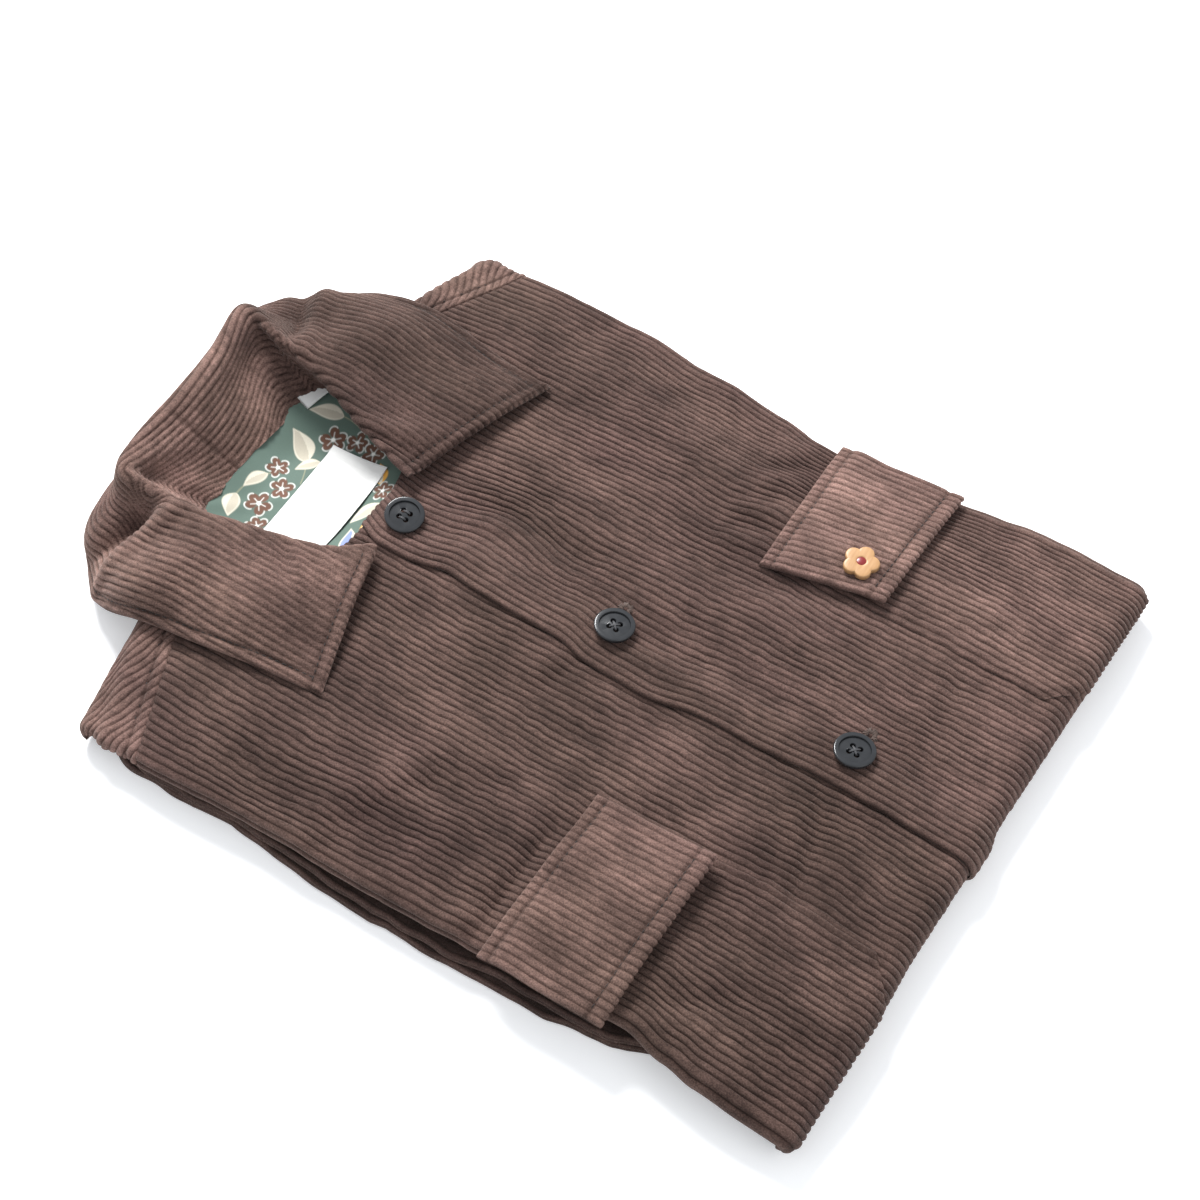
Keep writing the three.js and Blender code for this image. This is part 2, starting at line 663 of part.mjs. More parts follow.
function neckLining() {
  const level = (ring, up) => ring.map(([x, y]) => new THREE.Vector3(x, y, neckFloor(x, y) + up));
  const rings = liningRings(0);
  return stackGeometry([
    ...rings.toReversed().map((ring) => level(ring, 0)),
    ...rings.map((ring) => level(ring, LINING.thick)),
  ]);
}

// What the hidden layers leave free for the lining
function neckWell() {
  const rings = liningRings(2 * GAP);
  const sink = ([x, y]) => new THREE.Vector3(x, y, neckFloor(x, y) - GAP);
  const floor = rings.toReversed().map((ring) => ring.map(sink));
  const lid = rings[0].map(([x, y]) => new THREE.Vector3(x, y, 2 * STACK));
  return stackGeometry([...floor, lid]);
}

// A label that lies on the lining
function labelSheet({ x, y, width, height, thick, angle = 0 }) {
  const [columns, rows] = [Math.ceil(width / 11), Math.ceil(height / 11)];
  const turn = degToRad(angle);
  const grid = (up) => {
    const out = [];
    for (let j = 0; j <= rows; j++) {
      const row = [];
      for (let i = 0; i <= columns; i++) {
        const [u, v] = [width * (i / columns - 0.5), height * (j / rows - 0.5)];
        const px = x + u * Math.cos(turn) - v * Math.sin(turn);
        const py = y + u * Math.sin(turn) + v * Math.cos(turn);
        row.push(new THREE.Vector3(px, py, neckFloor(px, py) + LINING.thick + 3 * GAP + up));
      }
      out.push(row);
    }
    return out;
  };
  return wallGeometry(grid(thick), grid(0), () => true);
}

// A four-hole button, turned and drilled
function buttonGeometry() {
  const { radius, thick, rim, dish, hole, holeSpread } = BUTTON;
  const profile = [
    [0, 0],
    [radius - 2.4, 0],
    [radius - 0.4, 0.9],
    [radius, thick * 0.6],
    [radius - 0.5, thick],
    [radius - rim, thick],
    [radius - rim - 0.6, thick - dish],
    [0, thick - dish],
  ].map(([r, z]) => new THREE.Vector2(r, z));
  const turned = new THREE.LatheGeometry(profile, 16).rotateX(Math.PI / 2);
  turned.deleteAttribute("uv");
  let solid = toSolid(turned);
  for (const [sx, sy] of [[1, 1], [1, -1], [-1, 1], [-1, -1]]) {
    const drill = new THREE.CylinderGeometry(hole, hole, 3 * thick, 6).rotateX(Math.PI / 2);
    drill.deleteAttribute("uv");
    drill.translate(sx * holeSpread, sy * holeSpread, 0);
    solid = solid.subtract(toSolid(drill));
  }
  return fromSolid(solid);
}

// How high a small round piece sits, tilted by two small slopes, on cloth of the given lift
function seat(x, y, radius, lift, slopeX = 0, slopeY = 0) {
  let high = 0;
  const turns = 24;
  for (let k = 0; k < turns; k++) {
    const angle = (2 * Math.PI * k) / turns;
    for (const share of [0, 0.33, 0.67, 1]) {
      const dx = share * radius * Math.cos(angle);
      const dy = share * radius * Math.sin(angle);
      high = Math.max(high, place(x + dx, y + dy, lift(x + dx)).z + slopeX * dx - slopeY * dy);
    }
  }
  return high + GAP;
}

function buttonMesh(index) {
  const { x, y, tilt } = BUTTONS[index];
  const mesh = named(`button_${index + 1}`, buttonGeometry(), material(COLOURS.button, 0.25));
  const [turnX, turnY] = tilt.map(degToRad);
  const crest = (across) => leftFrontLift(across) + WALL + RIB;
  mesh.position.set(x, y, seat(x, y, BUTTON.radius, crest, Math.tan(turnY), Math.tan(turnX)));
  mesh.rotation.set(turnX, turnY, 0);
  return mesh;
}

// A small turned flower with a round eye, sewn to the flap
function flowerMesh() {
  const { x, y, radius, petals, scallop, thick, eye } = FLOWER;
  const steps = 60;
  const outline = [];
  for (let k = 0; k < steps; k++) {
    const angle = (2 * Math.PI * k) / steps;
    const r = radius * (1 - scallop + scallop * Math.cos(petals * angle));
    outline.push(new THREE.Vector2(r * Math.cos(angle), r * Math.sin(angle)));
  }
  const geometry = new THREE.ExtrudeGeometry(new THREE.Shape(outline), { depth: thick, bevelEnabled: false });
  geometry.deleteAttribute("uv");
  const dimple = new THREE.CylinderGeometry(eye, eye * 0.6, 1.2, 10).rotateX(Math.PI / 2);
  dimple.deleteAttribute("uv");
  dimple.translate(0, 0, thick);
  const flower = fromSolid(toSolid(geometry).subtract(toSolid(dimple)));
  const mesh = named("flower_button", flower, material(COLOURS.flower, 0.45));
  const onFlap = 2 * LAYER + 3 * GAP + FLAP_THICK + RIB + FLAP_RISE;
  mesh.position.set(x, y, seat(x, y, radius, () => onFlap));
  return mesh;
}

const cloth = material(COLOURS.cloth);
const jacket = new THREE.Group();
jacket.add(
  named("hidden_layers", hiddenLayers(), material(COLOURS.layers)),
  named("right_front", rightFront(), cloth),
  named("left_front", leftFront(), cloth),
  named("right_yoke", yoke("right"), cloth),
  named("left_yoke", yoke("left"), cloth),
  named("right_pocket", pocket("right"), cloth),
  named("left_pocket", pocket("left"), cloth),
  named("right_flap", flap("right"), cloth),
  named("left_flap", flap("left"), cloth),
  named("collar", collar(), cloth),
  named("neck_lining", neckLining(), material(COLOURS.lining, 0.8)),
  named("neck_label", labelSheet(LABEL), material(COLOURS.label, 0.7)),
  named("size_tab", labelSheet(SIZE_TAB), material(COLOURS.label, 0.7)),
  buttonMesh(0),
  buttonMesh(1),
  buttonMesh(2),
  flowerMesh(),
);
jacket.position.y = -MID_LENGTH;

export default jacket;
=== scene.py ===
import math

import bpy
import numpy as np
from mathutils import Euler, Matrix, Vector


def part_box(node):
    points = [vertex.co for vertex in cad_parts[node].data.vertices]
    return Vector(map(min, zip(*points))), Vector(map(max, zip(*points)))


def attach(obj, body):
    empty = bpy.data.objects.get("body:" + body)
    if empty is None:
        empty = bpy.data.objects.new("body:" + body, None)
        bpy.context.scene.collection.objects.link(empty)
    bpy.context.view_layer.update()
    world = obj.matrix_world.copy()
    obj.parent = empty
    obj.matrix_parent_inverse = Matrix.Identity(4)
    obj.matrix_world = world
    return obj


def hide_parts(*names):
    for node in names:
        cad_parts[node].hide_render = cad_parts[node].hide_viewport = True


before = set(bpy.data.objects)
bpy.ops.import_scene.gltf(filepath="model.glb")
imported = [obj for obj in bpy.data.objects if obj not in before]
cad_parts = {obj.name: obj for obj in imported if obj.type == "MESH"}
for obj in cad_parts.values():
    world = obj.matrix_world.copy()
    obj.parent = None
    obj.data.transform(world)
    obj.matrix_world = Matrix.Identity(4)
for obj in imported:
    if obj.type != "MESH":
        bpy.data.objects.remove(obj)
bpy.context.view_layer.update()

# The cloth, as in the model
WALE = 3.5  # pitch of the corduroy's ribs
RIB = 0.95  # a rib's height over its groove
WALL = 1.3  # cloth thickness at a groove
GAP = 0.3  # from one cloth to the next
LAYER = 2.6  # what one more layer of cloth adds to the pile
RIB_STEPS = (0, 0.1, 0.3, 0.5, 0.7, 0.9)  # where each wale has its columns of points
RIB_POWER = 3.0  # how blunt a rib is
ROW = 1.7  # spacing of the rows along the ribs
PRESSED = 0.55  # how much thinner the cloth is along a seam

# The bundle, as in the model
STACK = 22.5  # height of the pile under the fronts
MID_LENGTH = 19.5
SIDE_RADIUS = 2.8
HALF_WIDTH = 160  # of the cloth as it is laid, before the sides ease it in or out
EASE_FROM = 110
SIDE_REACH = 5  # how far the cloth goes on past its half width, round the side
HEM_FOLD = 203
HEM_SLANT = -0.052
HEM_CORNER = 1.8  # how much further the wearer's right side hangs
HEM_RADIUS = 7.5
CORNER_RADIUS = 6.2
HEM_TURN = 2.8  # how far the cloth turns round the hem's fold, in radians
SHOULDER_FOLD = 189
SHOULDER_SLOPE = 0.2
SHOULDER_RADIUS = 6.6
SHOULDER_TURN = 2.3
# How far the bundle droops towards its edges, and between which places
SIDE_DROOP = {"by": 4, "over": (112, 158)}
HEM_DROOP = {"by": 2.6, "over": (150, 195)}
SHOULDER_DROOP = {"by": 4.2, "over": (105, 178)}
# Where the folds and creases fade out, towards the hem and the shoulders
FOLDS_FADE = {"hem": (162, 186), "shoulder": (88, 112)}
STRAIGHT_ROWS = (84, -182)  # between these the rows of the fronts lie straight across
TOP_ROWS = 32
HEM_ROWS = 24
NECK = {"x": -7, "y": 156, "half_width": 50, "half_length": 39, "depth": 7.5, "power": 2.6}
LINING = {"x": -1, "y": 154.5, "half_width": 54, "half_length": 38, "power": 5, "thick": 0.9}
FOLD_ROOM = 2.7
SEAM_LAP = 0.8  # how far cloths reach under and over each other at a seam
LEAF_ROOM = 8  # how much wider the neck is under the left leaf, where nobody sees it
PLACKET_EDGE = -17.5
PLACKET_STITCH = 19.5
UNDERLAP = -6
YOKE_LIFT = 0.7
YOKE_ROWS = 96
YOKE_COLUMN = 0.62
YOKE_STITCH = 6
POCKET_TOP = -68
POCKET_LIFT = 2.5
POCKET_THICK = 1.0
POCKET_ROWS = 98
POCKET_STITCH = 2.4
POCKET_BEVEL = 0.7  # distance from the cut-off edge for each millimetre along the body
POCKET_CORNER = 4.5  # how far above the hem's fold the cut-off corner ends
FLAP_THICK = 2
FLAP_HEIGHT = 60
FLAP_SEAM_TOP = 6 / FLAP_HEIGHT
FLAP_SEAM_LOW = 1 - 7 / FLAP_HEIGHT
FLAP_EDGE_ROWS = (0, 0.3, 0.7, 1.2, 1.8)
FLAP_RISE = 0.8
FLAP_LIFT = {-1: (5.5, 1.5), 1: (1.2, 1.8)}  # how far a flap's lower corners stand up, inner and outer
FLAP_OVERHANG = -0.2
# How light each piece's nap looks: the cloth's own light is 1. The layers' lower tone is painted shade,
# where they lie under the fronts, and the collar band's higher tone is painted light on the stand
TONE_AND_SHADE = {"layers": 0.85, "right_front": 0.97, "left_front": 1.0, "yoke": 1.5, "pocket": 1.05}
FLAP_TONE = {-1: 1.6, 1: 2.1}
# The band's tone is painted light: the collar's stand is coloured lighter where the light falls on it
COLLAR_TONE = {"right": 1.62, "left": 0.78, "painted_band_light": 1.25}


def table(columns, *rows):
    """Rows of a table as dictionaries, by the names of its columns."""
    return [dict(zip(columns.split(), row)) for row in rows]


SIDE_WORD = {-1: "right", 1: "left"}  # the wearer's sides, with X towards the left
# How far the bundle's sides stand out, along the body
SIDES = table(
    "y right left",
    (190, 162, 160),
    (130, 163, 160.5),
    (70, 160, 159.5),
    (20, 159.5, 154.5),
    (-20, 158.5, 150),
    (-44, 157, 144),
    (-80, 153.5, 144),
    (-115, 151.7, 147),
    (-136, 155.5, 149.8),
    (-152, 157.8, 152.5),
    (-175, 158.8, 153.8),
    (-209, 159.4, 153.2),
)

# The largest folds, as in the model, and then the finer creases round them
FOLDS = table(
    "x y angle length width height",
    (-135, 43, -26, 40, 12, 1.8),
    (-122, 20, -28, 38, 12, -1.7),
    (-60, -8, 62, 32, 12, -1.2),
    (-118, -32, -3, 46, 12, 1.4),
    (-58, -122, 13, 36, 12, 1.5),
    (-52, -144, 13, 34, 12, -1.8),
    (30, 46, 79, 38, 11, -1.8),
    (52, 56, 76, 40, 12, 1.5),
    (62, -56, -80, 38, 11, -1.7),
    (40, -54, -80, 40, 12, 1.2),
    (131, 0, 80, 44, 12, -1.8),
    (105, 6, 82, 44, 12, 1.3),
    (108, -36, -4, 42, 12, 1.3),
)
CREASES = table(
    "x y angle length width height",
    (-146, 47, -52, 15, 4.5, -1.1),
    (-138, 41, -52, 15, 4.2, 1.0),
    (-130, 34, -52, 15, 4.5, -1.3),
    (-123, 28, -52, 14, 4.2, 1.0),
    (-115, 21, -52, 13, 4.2, -0.9),
    (-150, -36, 84, 10, 3.4, 0.7),
    (-139, -35, 96, 11, 3.6, -0.7),
    (-127, -36, 82, 10, 3.4, 0.6),
    (-113, -37, 95, 9, 3.4, -0.5),
    (-128, -42, -3, 34, 4.4, -2.4),
    (-48, -142, 14, 28, 4.6, -1.5),
    (-44, -133, 16, 30, 5, 0.8),
    (-30, -160, 40, 14, 5, -0.9),
    (-145, -128, -64, 22, 6, 1.3),
    (-134, -136, -62, 24, 6, -1.3),
    (-121, -132, -66, 20, 6, 0.9),
    (-104, -128, -74, 18, 6, -0.9),
    (-36, -70, 70, 12, 4, 0.6),
    (-48, -74, 74, 13, 4, -0.6),
    (-30, -6, -20, 14, 4.5, -0.9),
    (-34, 4, -20, 16, 5, 0.8),
    (-78, 62, 80, 30, 9, -0.7),
    (25, 78, -64, 20, 5, -1.4),
    (16, 72, -66, 22, 5.5, 1.3),
    (36, 60, 84, 22, 5, 0.8),
    (28, 40, 84, 22, 5, -0.8),
    (60, -70, -74, 16, 5, -1.2),
    (54, -62, -74, 20, 5, 0.9),
    (75, -40, -68, 14, 4.5, 0.9),
    (84, -40, -70, 14, 4.2, -0.9),
    (94, -39, -68, 14, 4.2, 0.9),
    (103, -39, -66, 13, 4, -0.8),
    (113, -38, -64, 13, 4, 0.8),
    (123, -37, -60, 13, 4.4, -1.1),
    (134, -36, -52, 13, 5, 1.2),
    (46, -160, 4, 30, 5, -0.9),
    (44, -151, 6, 28, 5.5, 0.7),
    (112, -150, 86, 30, 9, -0.7),
    (8, 12, 20, 16, 5, 0.6),
    (4, -40, -80, 22, 5, -0.6),
    (18, -112, -82, 20, 5, 0.6),
    (96, 84, 80, 30, 10, -0.8),
)
# How the ribs wander on the cloth: a push across, round a place
DRIFTS = table(
    "x y reach_x reach_y push",
    (-130, -60, 36, 90, 1.8),
    (-140, 80, 40, 30, -2.5),
    (-60, 30, 40, 40, -1.6),
    (-45, -150, 30, 24, 2.2),
    (-70, -60, 30, 30, -1.4),
    (25, 62, 20, 24, 5),
    (20, 26, 24, 20, -2),
    (38, 100, 30, 22, -3),
    (66, -66, 24, 18, 3),
    (90, -22, 34, 16, -2.4),
    (112, -46, 28, 12, 2.6),
    (60, 10, 30, 30, 1.6),
    (50, -140, 36, 26, -1.8),
    (110, -150, 34, 30, 1.8),
    (100, 60, 34, 40, -1.8),
)
# Where the nap of the fronts looks lighter or darker than round about, and one painted shadow cast by the
# right flap
NAP_AND_SHADOW = table(
    "x y reach_x reach_y level",
    (105, -165, 60, 45, 0.5),
    (60, -190, 70, 22, 0.25),
    (130, -150, 30, 26, 0.2),
    (62, 72, 24, 26, 0.28),
    (38, 34, 18, 18, 0.12),
    (95, 30, 30, 46, -0.1),
    (64, -30, 30, 22, -0.22),
    (20, 34, 16, 22, -0.14),
    (120, 90, 34, 46, -0.12),
    (4, -60, 16, 44, 0.1),
    (-46, 52, 22, 22, 0.3),
    (-78, 30, 26, 16, 0.2),
    (-62, -62, 26, 18, 0.22),
    (-118, 96, 40, 34, -0.2),
    (-112, -10, 30, 30, -0.2),
    (-30, -20, 16, 30, -0.16),
    # painted shadow, cast by the right flap beside its lower inner corner
    (-45, -155, 34, 30, -0.14),
    (-140, -170, 34, 34, -0.16),
    (-90, 70, 18, 30, -0.1),
)

# The placket's edge, along the body
PLACKET = table(
    "y x",
    (118, -12.5),
    (108, -17.5),
    (96, -18.4),
    (80, -16.9),
    (71, -14.4),
    (55, -15.4),
    (21, -16.9),
    (3, -17.4),
    (-11, -20.4),
    (-29, -21.4),
    (-50, -21.2),
    (-63, -18.4),
    (-97, -17.4),
    (-127, -15.4),
    (-154, -15.9),
    (-220, -16),
)

# The collar, one row for each section round the neck from the wearer's right to left, as in the model
COLLAR = table(
    "neck roll edge puff swell",
    ((-29, 108, 26.6), (-23, 101, 31.5), (-98, 79, 26.7), 1.5, 1.5),
    ((-41, 121, 26), (-35, 115, 33.5), (-100, 98, 26.6), 3, 3),
    ((-49, 138, 24.4), (-43, 133, 36), (-103, 122, 26.5), 5, 5),
    ((-53, 158, 20.5), (-49, 154, 39), (-107, 148, 26.2), 6, 7),
    ((-54, 174, 18), (-55, 173, 41.5), (-110, 172, 25.4), 5, 8),
    ((-50, 185, 17), (-57, 189, 42.5), (-111, 192, 18), 2, 8),
    ((-45, 189, 15.5), (-58, 204, 45.5), (-106, 206, 9), -6, 4),
    ((-38, 191, 14), (-59, 216, 48), (-93, 221, 4), -3, 7),
    ((-30, 192, 14), (-53, 222.5, 48.5), (-76, 232, 3), -1, 6),
    ((-20, 193, 14), (-33, 223.5, 48.5), (-44, 237, 2.2), 1, 4),
    ((-6, 193, 14), (-8, 223.5, 48), (-9, 241, 2.2), 1, 3),
    ((8, 192, 14), (20, 226, 48.5), (27, 244, 2.2), 1, 3),
    ((22, 191, 14), (45, 229.5, 49.5), (61, 243, 2.5), 2, 4),
    ((34, 190, 15), (48.5, 222, 49), (84, 231, 6), 0, 7),
    ((46, 186, 17.5), (44, 206.5, 46.5), (100, 212, 13), -2, 8),
    ((51, 176, 19.5), (44, 189, 41), (108.5, 191.5, 21.5), 4, 7.5),
    ((50, 162, 21.5), (37, 169, 38), (111, 168, 25.8), 6, 7),
    ((43, 146, 24.2), (30, 148.5, 35.5), (108, 140, 26.4), 5, 5),
    ((33, 130.5, 26), (24, 129, 33.5), (104, 113, 26.6), 3, 3.5),
    ((24, 118, 26.6), (19, 111, 31.5), (101, 85, 26.7), 1.5, 2),
)
COLLAR_HALF = 1.2  # half of the collar's two cloths
COLLAR_ROW = 22  # millimetres from one of those rows to the next, about
COLLAR_ROUND = 420  # millimetres round the neck, about
COLLAR_DOWN = 105  # millimetres from the neck seam to the free edge, about
COLLAR_GRID = (300, 176)  # points round the neck and down to the free edge
COLLAR_EDGE_STEPS = (0, 0.25, 0.6, 1.1)  # the last columns, in millimetres from the free edge
COLLAR_STITCH = 6
COLLAR_LEAN = {"right": 13, "left": 11}  # how far the free edge leans from the ribs, on each leaf
COLLAR_CENTRE = 0.5
STAND_SHARE = 0.4  # where the roll line comes, along a section's curve
ROLL_PINCH = {"at": 0.38, "width": 0.055, "by": 0.9}  # where the roll is too tight for an inner cloth
HOLLOW_FADE = {"width": 6, "by": 0.85}  # how much shallower a crease is in the roll
SOFTENED = (26, 6)  # rounds of smoothing of the collar's form, down it and round it
CREASES_SOFTENED = (8, 3)
LEFT_LEAF = (0.6, 0.72)  # shares of the way round between which the left leaf's look begins
# Creases of the collar, from one place to another. Row counts round it, and down runs from the
# neck seam to the free edge.
COLLAR_CREASES = table(
    "row down to_row to_down width height",
    (4.8, 0.42, 6.0, 0.95, 5.5, 3.8),
    (5.5, 0.46, 6.9, 0.9, 6.5, -4.4),
    (14.9, 0.42, 13.8, 0.92, 4.2, 2.6),
    (14.45, 0.4, 13.35, 0.85, 4.6, -3.4),
    (2.0, 0.43, 1.4, 0.62, 3.0, 2.1),
    (2.3, 0.43, 1.7, 0.6, 3.0, -2.3),
    (1.55, 0.42, 1.0, 0.54, 2.8, 1.0),
    (1.2, 0.43, 0.8, 0.52, 2.6, -0.9),
    (17.3, 0.44, 18.5, 0.53, 3.2, 2.7),
    (17.5, 0.4, 18.7, 0.46, 3.4, -2.6),
    (17.9, 0.52, 18.8, 0.62, 2.8, 1.3),
    (16.2, 0.43, 17.2, 0.5, 4.5, -0.9),
    (11.1, 0.2, 13.3, 0.27, 6, -3.0),
    (10.6, 0.32, 12.6, 0.36, 6, 1.2),
    (9.0, 0.2, 10.6, 0.3, 7, 1.2),
    (7.3, 0.36, 9.0, 0.24, 6, 2.6),
    (6.2, 0.34, 8.2, 0.2, 6, -2.2),
    (2.6, 0.55, 3.6, 0.92, 10, -0.9),
    (3.6, 0.5, 4.3, 0.9, 9, 0.8),
    (15.4, 0.5, 16.6, 0.94, 9, 0.9),
    (16.6, 0.55, 17.7, 0.88, 9, -0.9),
    (0.3, 0.75, 0.9, 0.9, 7, -0.7),
)

YOKE_SEAMS = {
    -1: {"x": -108, "y": 156, "slope": 0.42, "most": 168},
    1: {"x": 113, "y": 163, "slope": -0.5, "most": 172},
}
YOKES = {-1: {"inner": -72, "outer": -163}, 1: {"inner": 66, "outer": 162}}
FLAPS = {
    -1: {"top_in": (-74, -52), "top_out": (-162, -47), "low_in": (-74.5, -112), "low_out": (-162, -108)},
    1: {"top_in": (67, -52), "top_out": (147.5, -53), "low_in": (76, -112), "low_out": (150, -117)},
}
POCKETS = {-1: {"inner": -72.5, "outer": -163, "cut": 21}, 1: {"inner": 73, "outer": 163, "cut": 18}}

BUTTON_TILTS = ((7, -3), (1, 8), (-2, 9))  # degrees about X and Y, from the top button down
BUTTON = {"radius": 9.6, "thick": 3.2, "rim": 1.7, "dish": 0.9, "hole": 1.15, "spread": 1.9}
FLOWER = {"radius": 8.8, "petals": 5, "petal": 4.0, "eye": 2.6}
# The worked ends that show beside the lower buttons, open between two angles
BUTTONHOLES = table(
    "number x y begin end seed",
    (2, 13, -12.5, -110, 120, 201),
    (3, 15, -138.5, -120, 110, 202),
)
LABEL = {"x": -8, "y": 146, "width": 64, "height": 33, "thick": 0.7, "angle": 0}
SIZE_TAB = {"x": 41, "y": 186, "width": 15, "height": 8, "angle": -14}


# Small tools
def smoothstep(value, low, high):
    share = np.clip((np.asarray(value, float) - low) / (high - low), 0, 1)
    return share * share * (3 - 2 * share)


def lerp(a, b, share):
    return a + (b - a) * share


def curve_through(position, places, values):
    """A smooth curve through a table's values, at any positions (places rise)."""
    places = np.asarray(places, float)
    values = np.asarray(values, float)
    slopes = np.gradient(values, places)
    k = np.clip(np.searchsorted(places, position) - 1, 0, len(places) - 2)
    span = places[k + 1] - places[k]
    t = np.clip((position - places[k]) / span, 0, 1)
    a, b = values[k], values[k + 1]
    rise = (3 - 2 * t) * t * t
    return (
        a + (b - a) * rise
        + span * slopes[k] * t * (1 - t) ** 2
        - span * slopes[k + 1] * t * t * (1 - t)
    )


def waves(x, y, length, seed, count=8):
    """Smooth unevenness, mostly from -1 to 1, with waves of about this length."""
    rng = np.random.default_rng(seed)
    total = np.zeros(np.broadcast(x, y).shape)
    for _ in range(count):
        turn, phase = rng.uniform(0, 2 * math.pi, 2)
        pace = 2 * math.pi / (length * rng.uniform(0.7, 1.6))
        total += np.sin(pace * (x * math.cos(turn) + y * math.sin(turn)) + phase)
    return total / math.sqrt(count)


def bell(distance, width=1.0):
    """1 at no distance, and close to 0 beyond the width."""
    return np.exp(-((distance / width) ** 2))


def turned(dx, dy, angle):
    """Offsets counted along and across a direction."""
    return dx * math.cos(angle) + dy * math.sin(angle), dy * math.cos(angle) - dx * math.sin(angle)


def spots(x, y, rows, key):
    """Soft round patches, one for each row of a table, as strong as the row's key says."""
    total = 0
    for row in rows:
        reach = ((x - row["x"]) / row["reach_x"]) ** 2 + ((y - row["y"]) / row["reach_y"]) ** 2
        total = total + row[key] * np.exp(-reach)
    return total


def metres(points):
    """Points of the tables' frame in the model's frame."""
    return (np.asarray(points, float) - (0, MID_LENGTH, 0)) * 0.001


def normals_of(points):
    """Unit normals of a grid of points, rows by columns."""
    down = np.gradient(points, axis=0)
    over = np.gradient(points, axis=1)
    normal = np.cross(over, down)
    normal /= np.maximum(np.linalg.norm(normal, axis=-1, keepdims=True), 1e-9)
    return normal


def arc_lengths(points, axis):
    """Distance along a grid's lines, from its first row or column."""
    steps = np.linalg.norm(np.diff(points, axis=axis), axis=-1)
    total = np.cumsum(steps, axis=axis)
    start = np.zeros_like(np.take(total, [0], axis=axis))
    return np.concatenate([start, total], axis=axis)


# Shape of the pile under the fronts
def relief(x, y, rows):
    """Height of the folds in a table's rows."""
    total = np.zeros(np.broadcast(x, y).shape)
    for f in rows:
        along, across = turned(x - f["x"], y - f["y"], math.radians(f["angle"]))
        total += f["height"] * np.exp(-((along / f["length"]) ** 4) - (across / f["width"]) ** 2)
    return total


def super_radius(dx, dy, a, b, power):
    """1 on the edge of a rounded rectangle with these half sizes, and less inside it."""
    return (np.abs(dx / a) ** power + np.abs(dy / b) ** power) ** (1 / power)


def neck_hollow(x, y):
    out = super_radius(x - NECK["x"], y - NECK["y"], NECK["half_width"], NECK["half_length"], NECK["power"])
    return NECK["depth"] * (1 - smoothstep(out, 0.5, 1.15))


def side_edge(x, y):
    rows = SIDES[::-1]
    places = np.array([row["y"] for row in rows], float)
    y = np.clip(y, places[0], places[-1])
    k = np.clip(np.searchsorted(places, y) - 1, 0, len(places) - 2)
    share = smoothstep((y - places[k]) / (places[k + 1] - places[k]), 0, 1)
    found = []
    for key in ("right", "left"):
        values = np.array([row[key] for row in rows], float)
        found.append(lerp(values[k], values[k + 1], share))
    return np.where(x < 0, found[0], found[1])


def narrow_edge(x, y):
    """The least of the side's places round about, which the layers under the fronts keep to."""
    return np.min([side_edge(x, y + step) for step in (-18, -9, 0, 9, 18)], axis=0)


def hem_edge(x):
    return -HEM_FOLD + HEM_SLANT * x - HEM_CORNER * smoothstep(-x, 55, 100)


def hem_radius(x):
    return lerp(HEM_RADIUS, CORNER_RADIUS, smoothstep(np.abs(x), 110, 156))


def shoulder_edge(x):
    return SHOULDER_FOLD - SHOULDER_SLOPE * np.maximum(0, np.abs(x) - 50)


def pile(x, y, folds=True):
    """Height of what the fronts lie on, with the folds or as its plain form."""
    side = SIDE_DROOP["by"] * smoothstep(np.abs(x), *SIDE_DROOP["over"])
    hem = HEM_DROOP["by"] * smoothstep(-y, *HEM_DROOP["over"])
    shoulder = SHOULDER_DROOP["by"] * smoothstep(y, *SHOULDER_DROOP["over"])
    height = STACK - side - hem - shoulder - neck_hollow(x, y)
    if not folds:
        return height
    fade = (1 - smoothstep(-y, *FOLDS_FADE["hem"])) * (1 - smoothstep(y, *FOLDS_FADE["shoulder"]))
    ripple = 0.45 * waves(x, y, 52, 11) + 0.22 * waves(x, y, 21, 12)
    return height + fade * (relief(x, y, FOLDS) + relief(x, y, CREASES)) + ripple * (0.3 + 0.7 * fade)


def place(across, along, lift):
    """Where a point of the cloth lies, lift off the pile: past the folds it turns down and under."""
    across, along, lift = np.broadcast_arrays(
        np.asarray(across, float), np.asarray(along, float), np.asarray(lift, float)
    )
    side = np.where(across < 0, -1.0, 1.0)
    edge = side_edge(across, along)
    turn_at = edge - SIDE_RADIUS
    stretch = (edge - EASE_FROM) / (HALF_WIDTH - EASE_FROM)
    reach = np.minimum(np.abs(across), EASE_FROM) + np.maximum(0, np.abs(across) - EASE_FROM) * stretch
    angle = np.maximum(0, reach - turn_at) / (SIDE_RADIUS + 1)
    turned = angle > 0
    x = side * np.where(turned, turn_at + (SIDE_RADIUS + lift) * np.sin(angle), reach)
    h = np.where(turned, (SIDE_RADIUS + lift) * np.cos(angle) - SIDE_RADIUS, lift)
    flat_x = side * np.minimum(reach, turn_at)
    radius = hem_radius(flat_x)
    hem = hem_edge(flat_x) + radius
    shoulder = shoulder_edge(flat_x) - SHOULDER_RADIUS
    base = pile(flat_x, np.clip(along, hem, shoulder))
    down = np.clip((hem - along) / (radius + 1), 0, HEM_TURN)
    back = np.clip((along - shoulder) / (SHOULDER_RADIUS + 1), 0, SHOULDER_TURN)
    y = np.clip(along, hem, shoulder)
    y = y - np.where(down > 0, (radius + h) * np.sin(down), 0)
    y = y + np.where(back > 0, (SHOULDER_RADIUS + h) * np.sin(back), 0)
    z = base + h
    z = np.where(down > 0, base - radius + (radius + h) * np.cos(down), z)
    z = np.where(back > 0, base - SHOULDER_RADIUS + (SHOULDER_RADIUS + h) * np.cos(back), z)
    return np.stack([x, y, z], axis=-1)


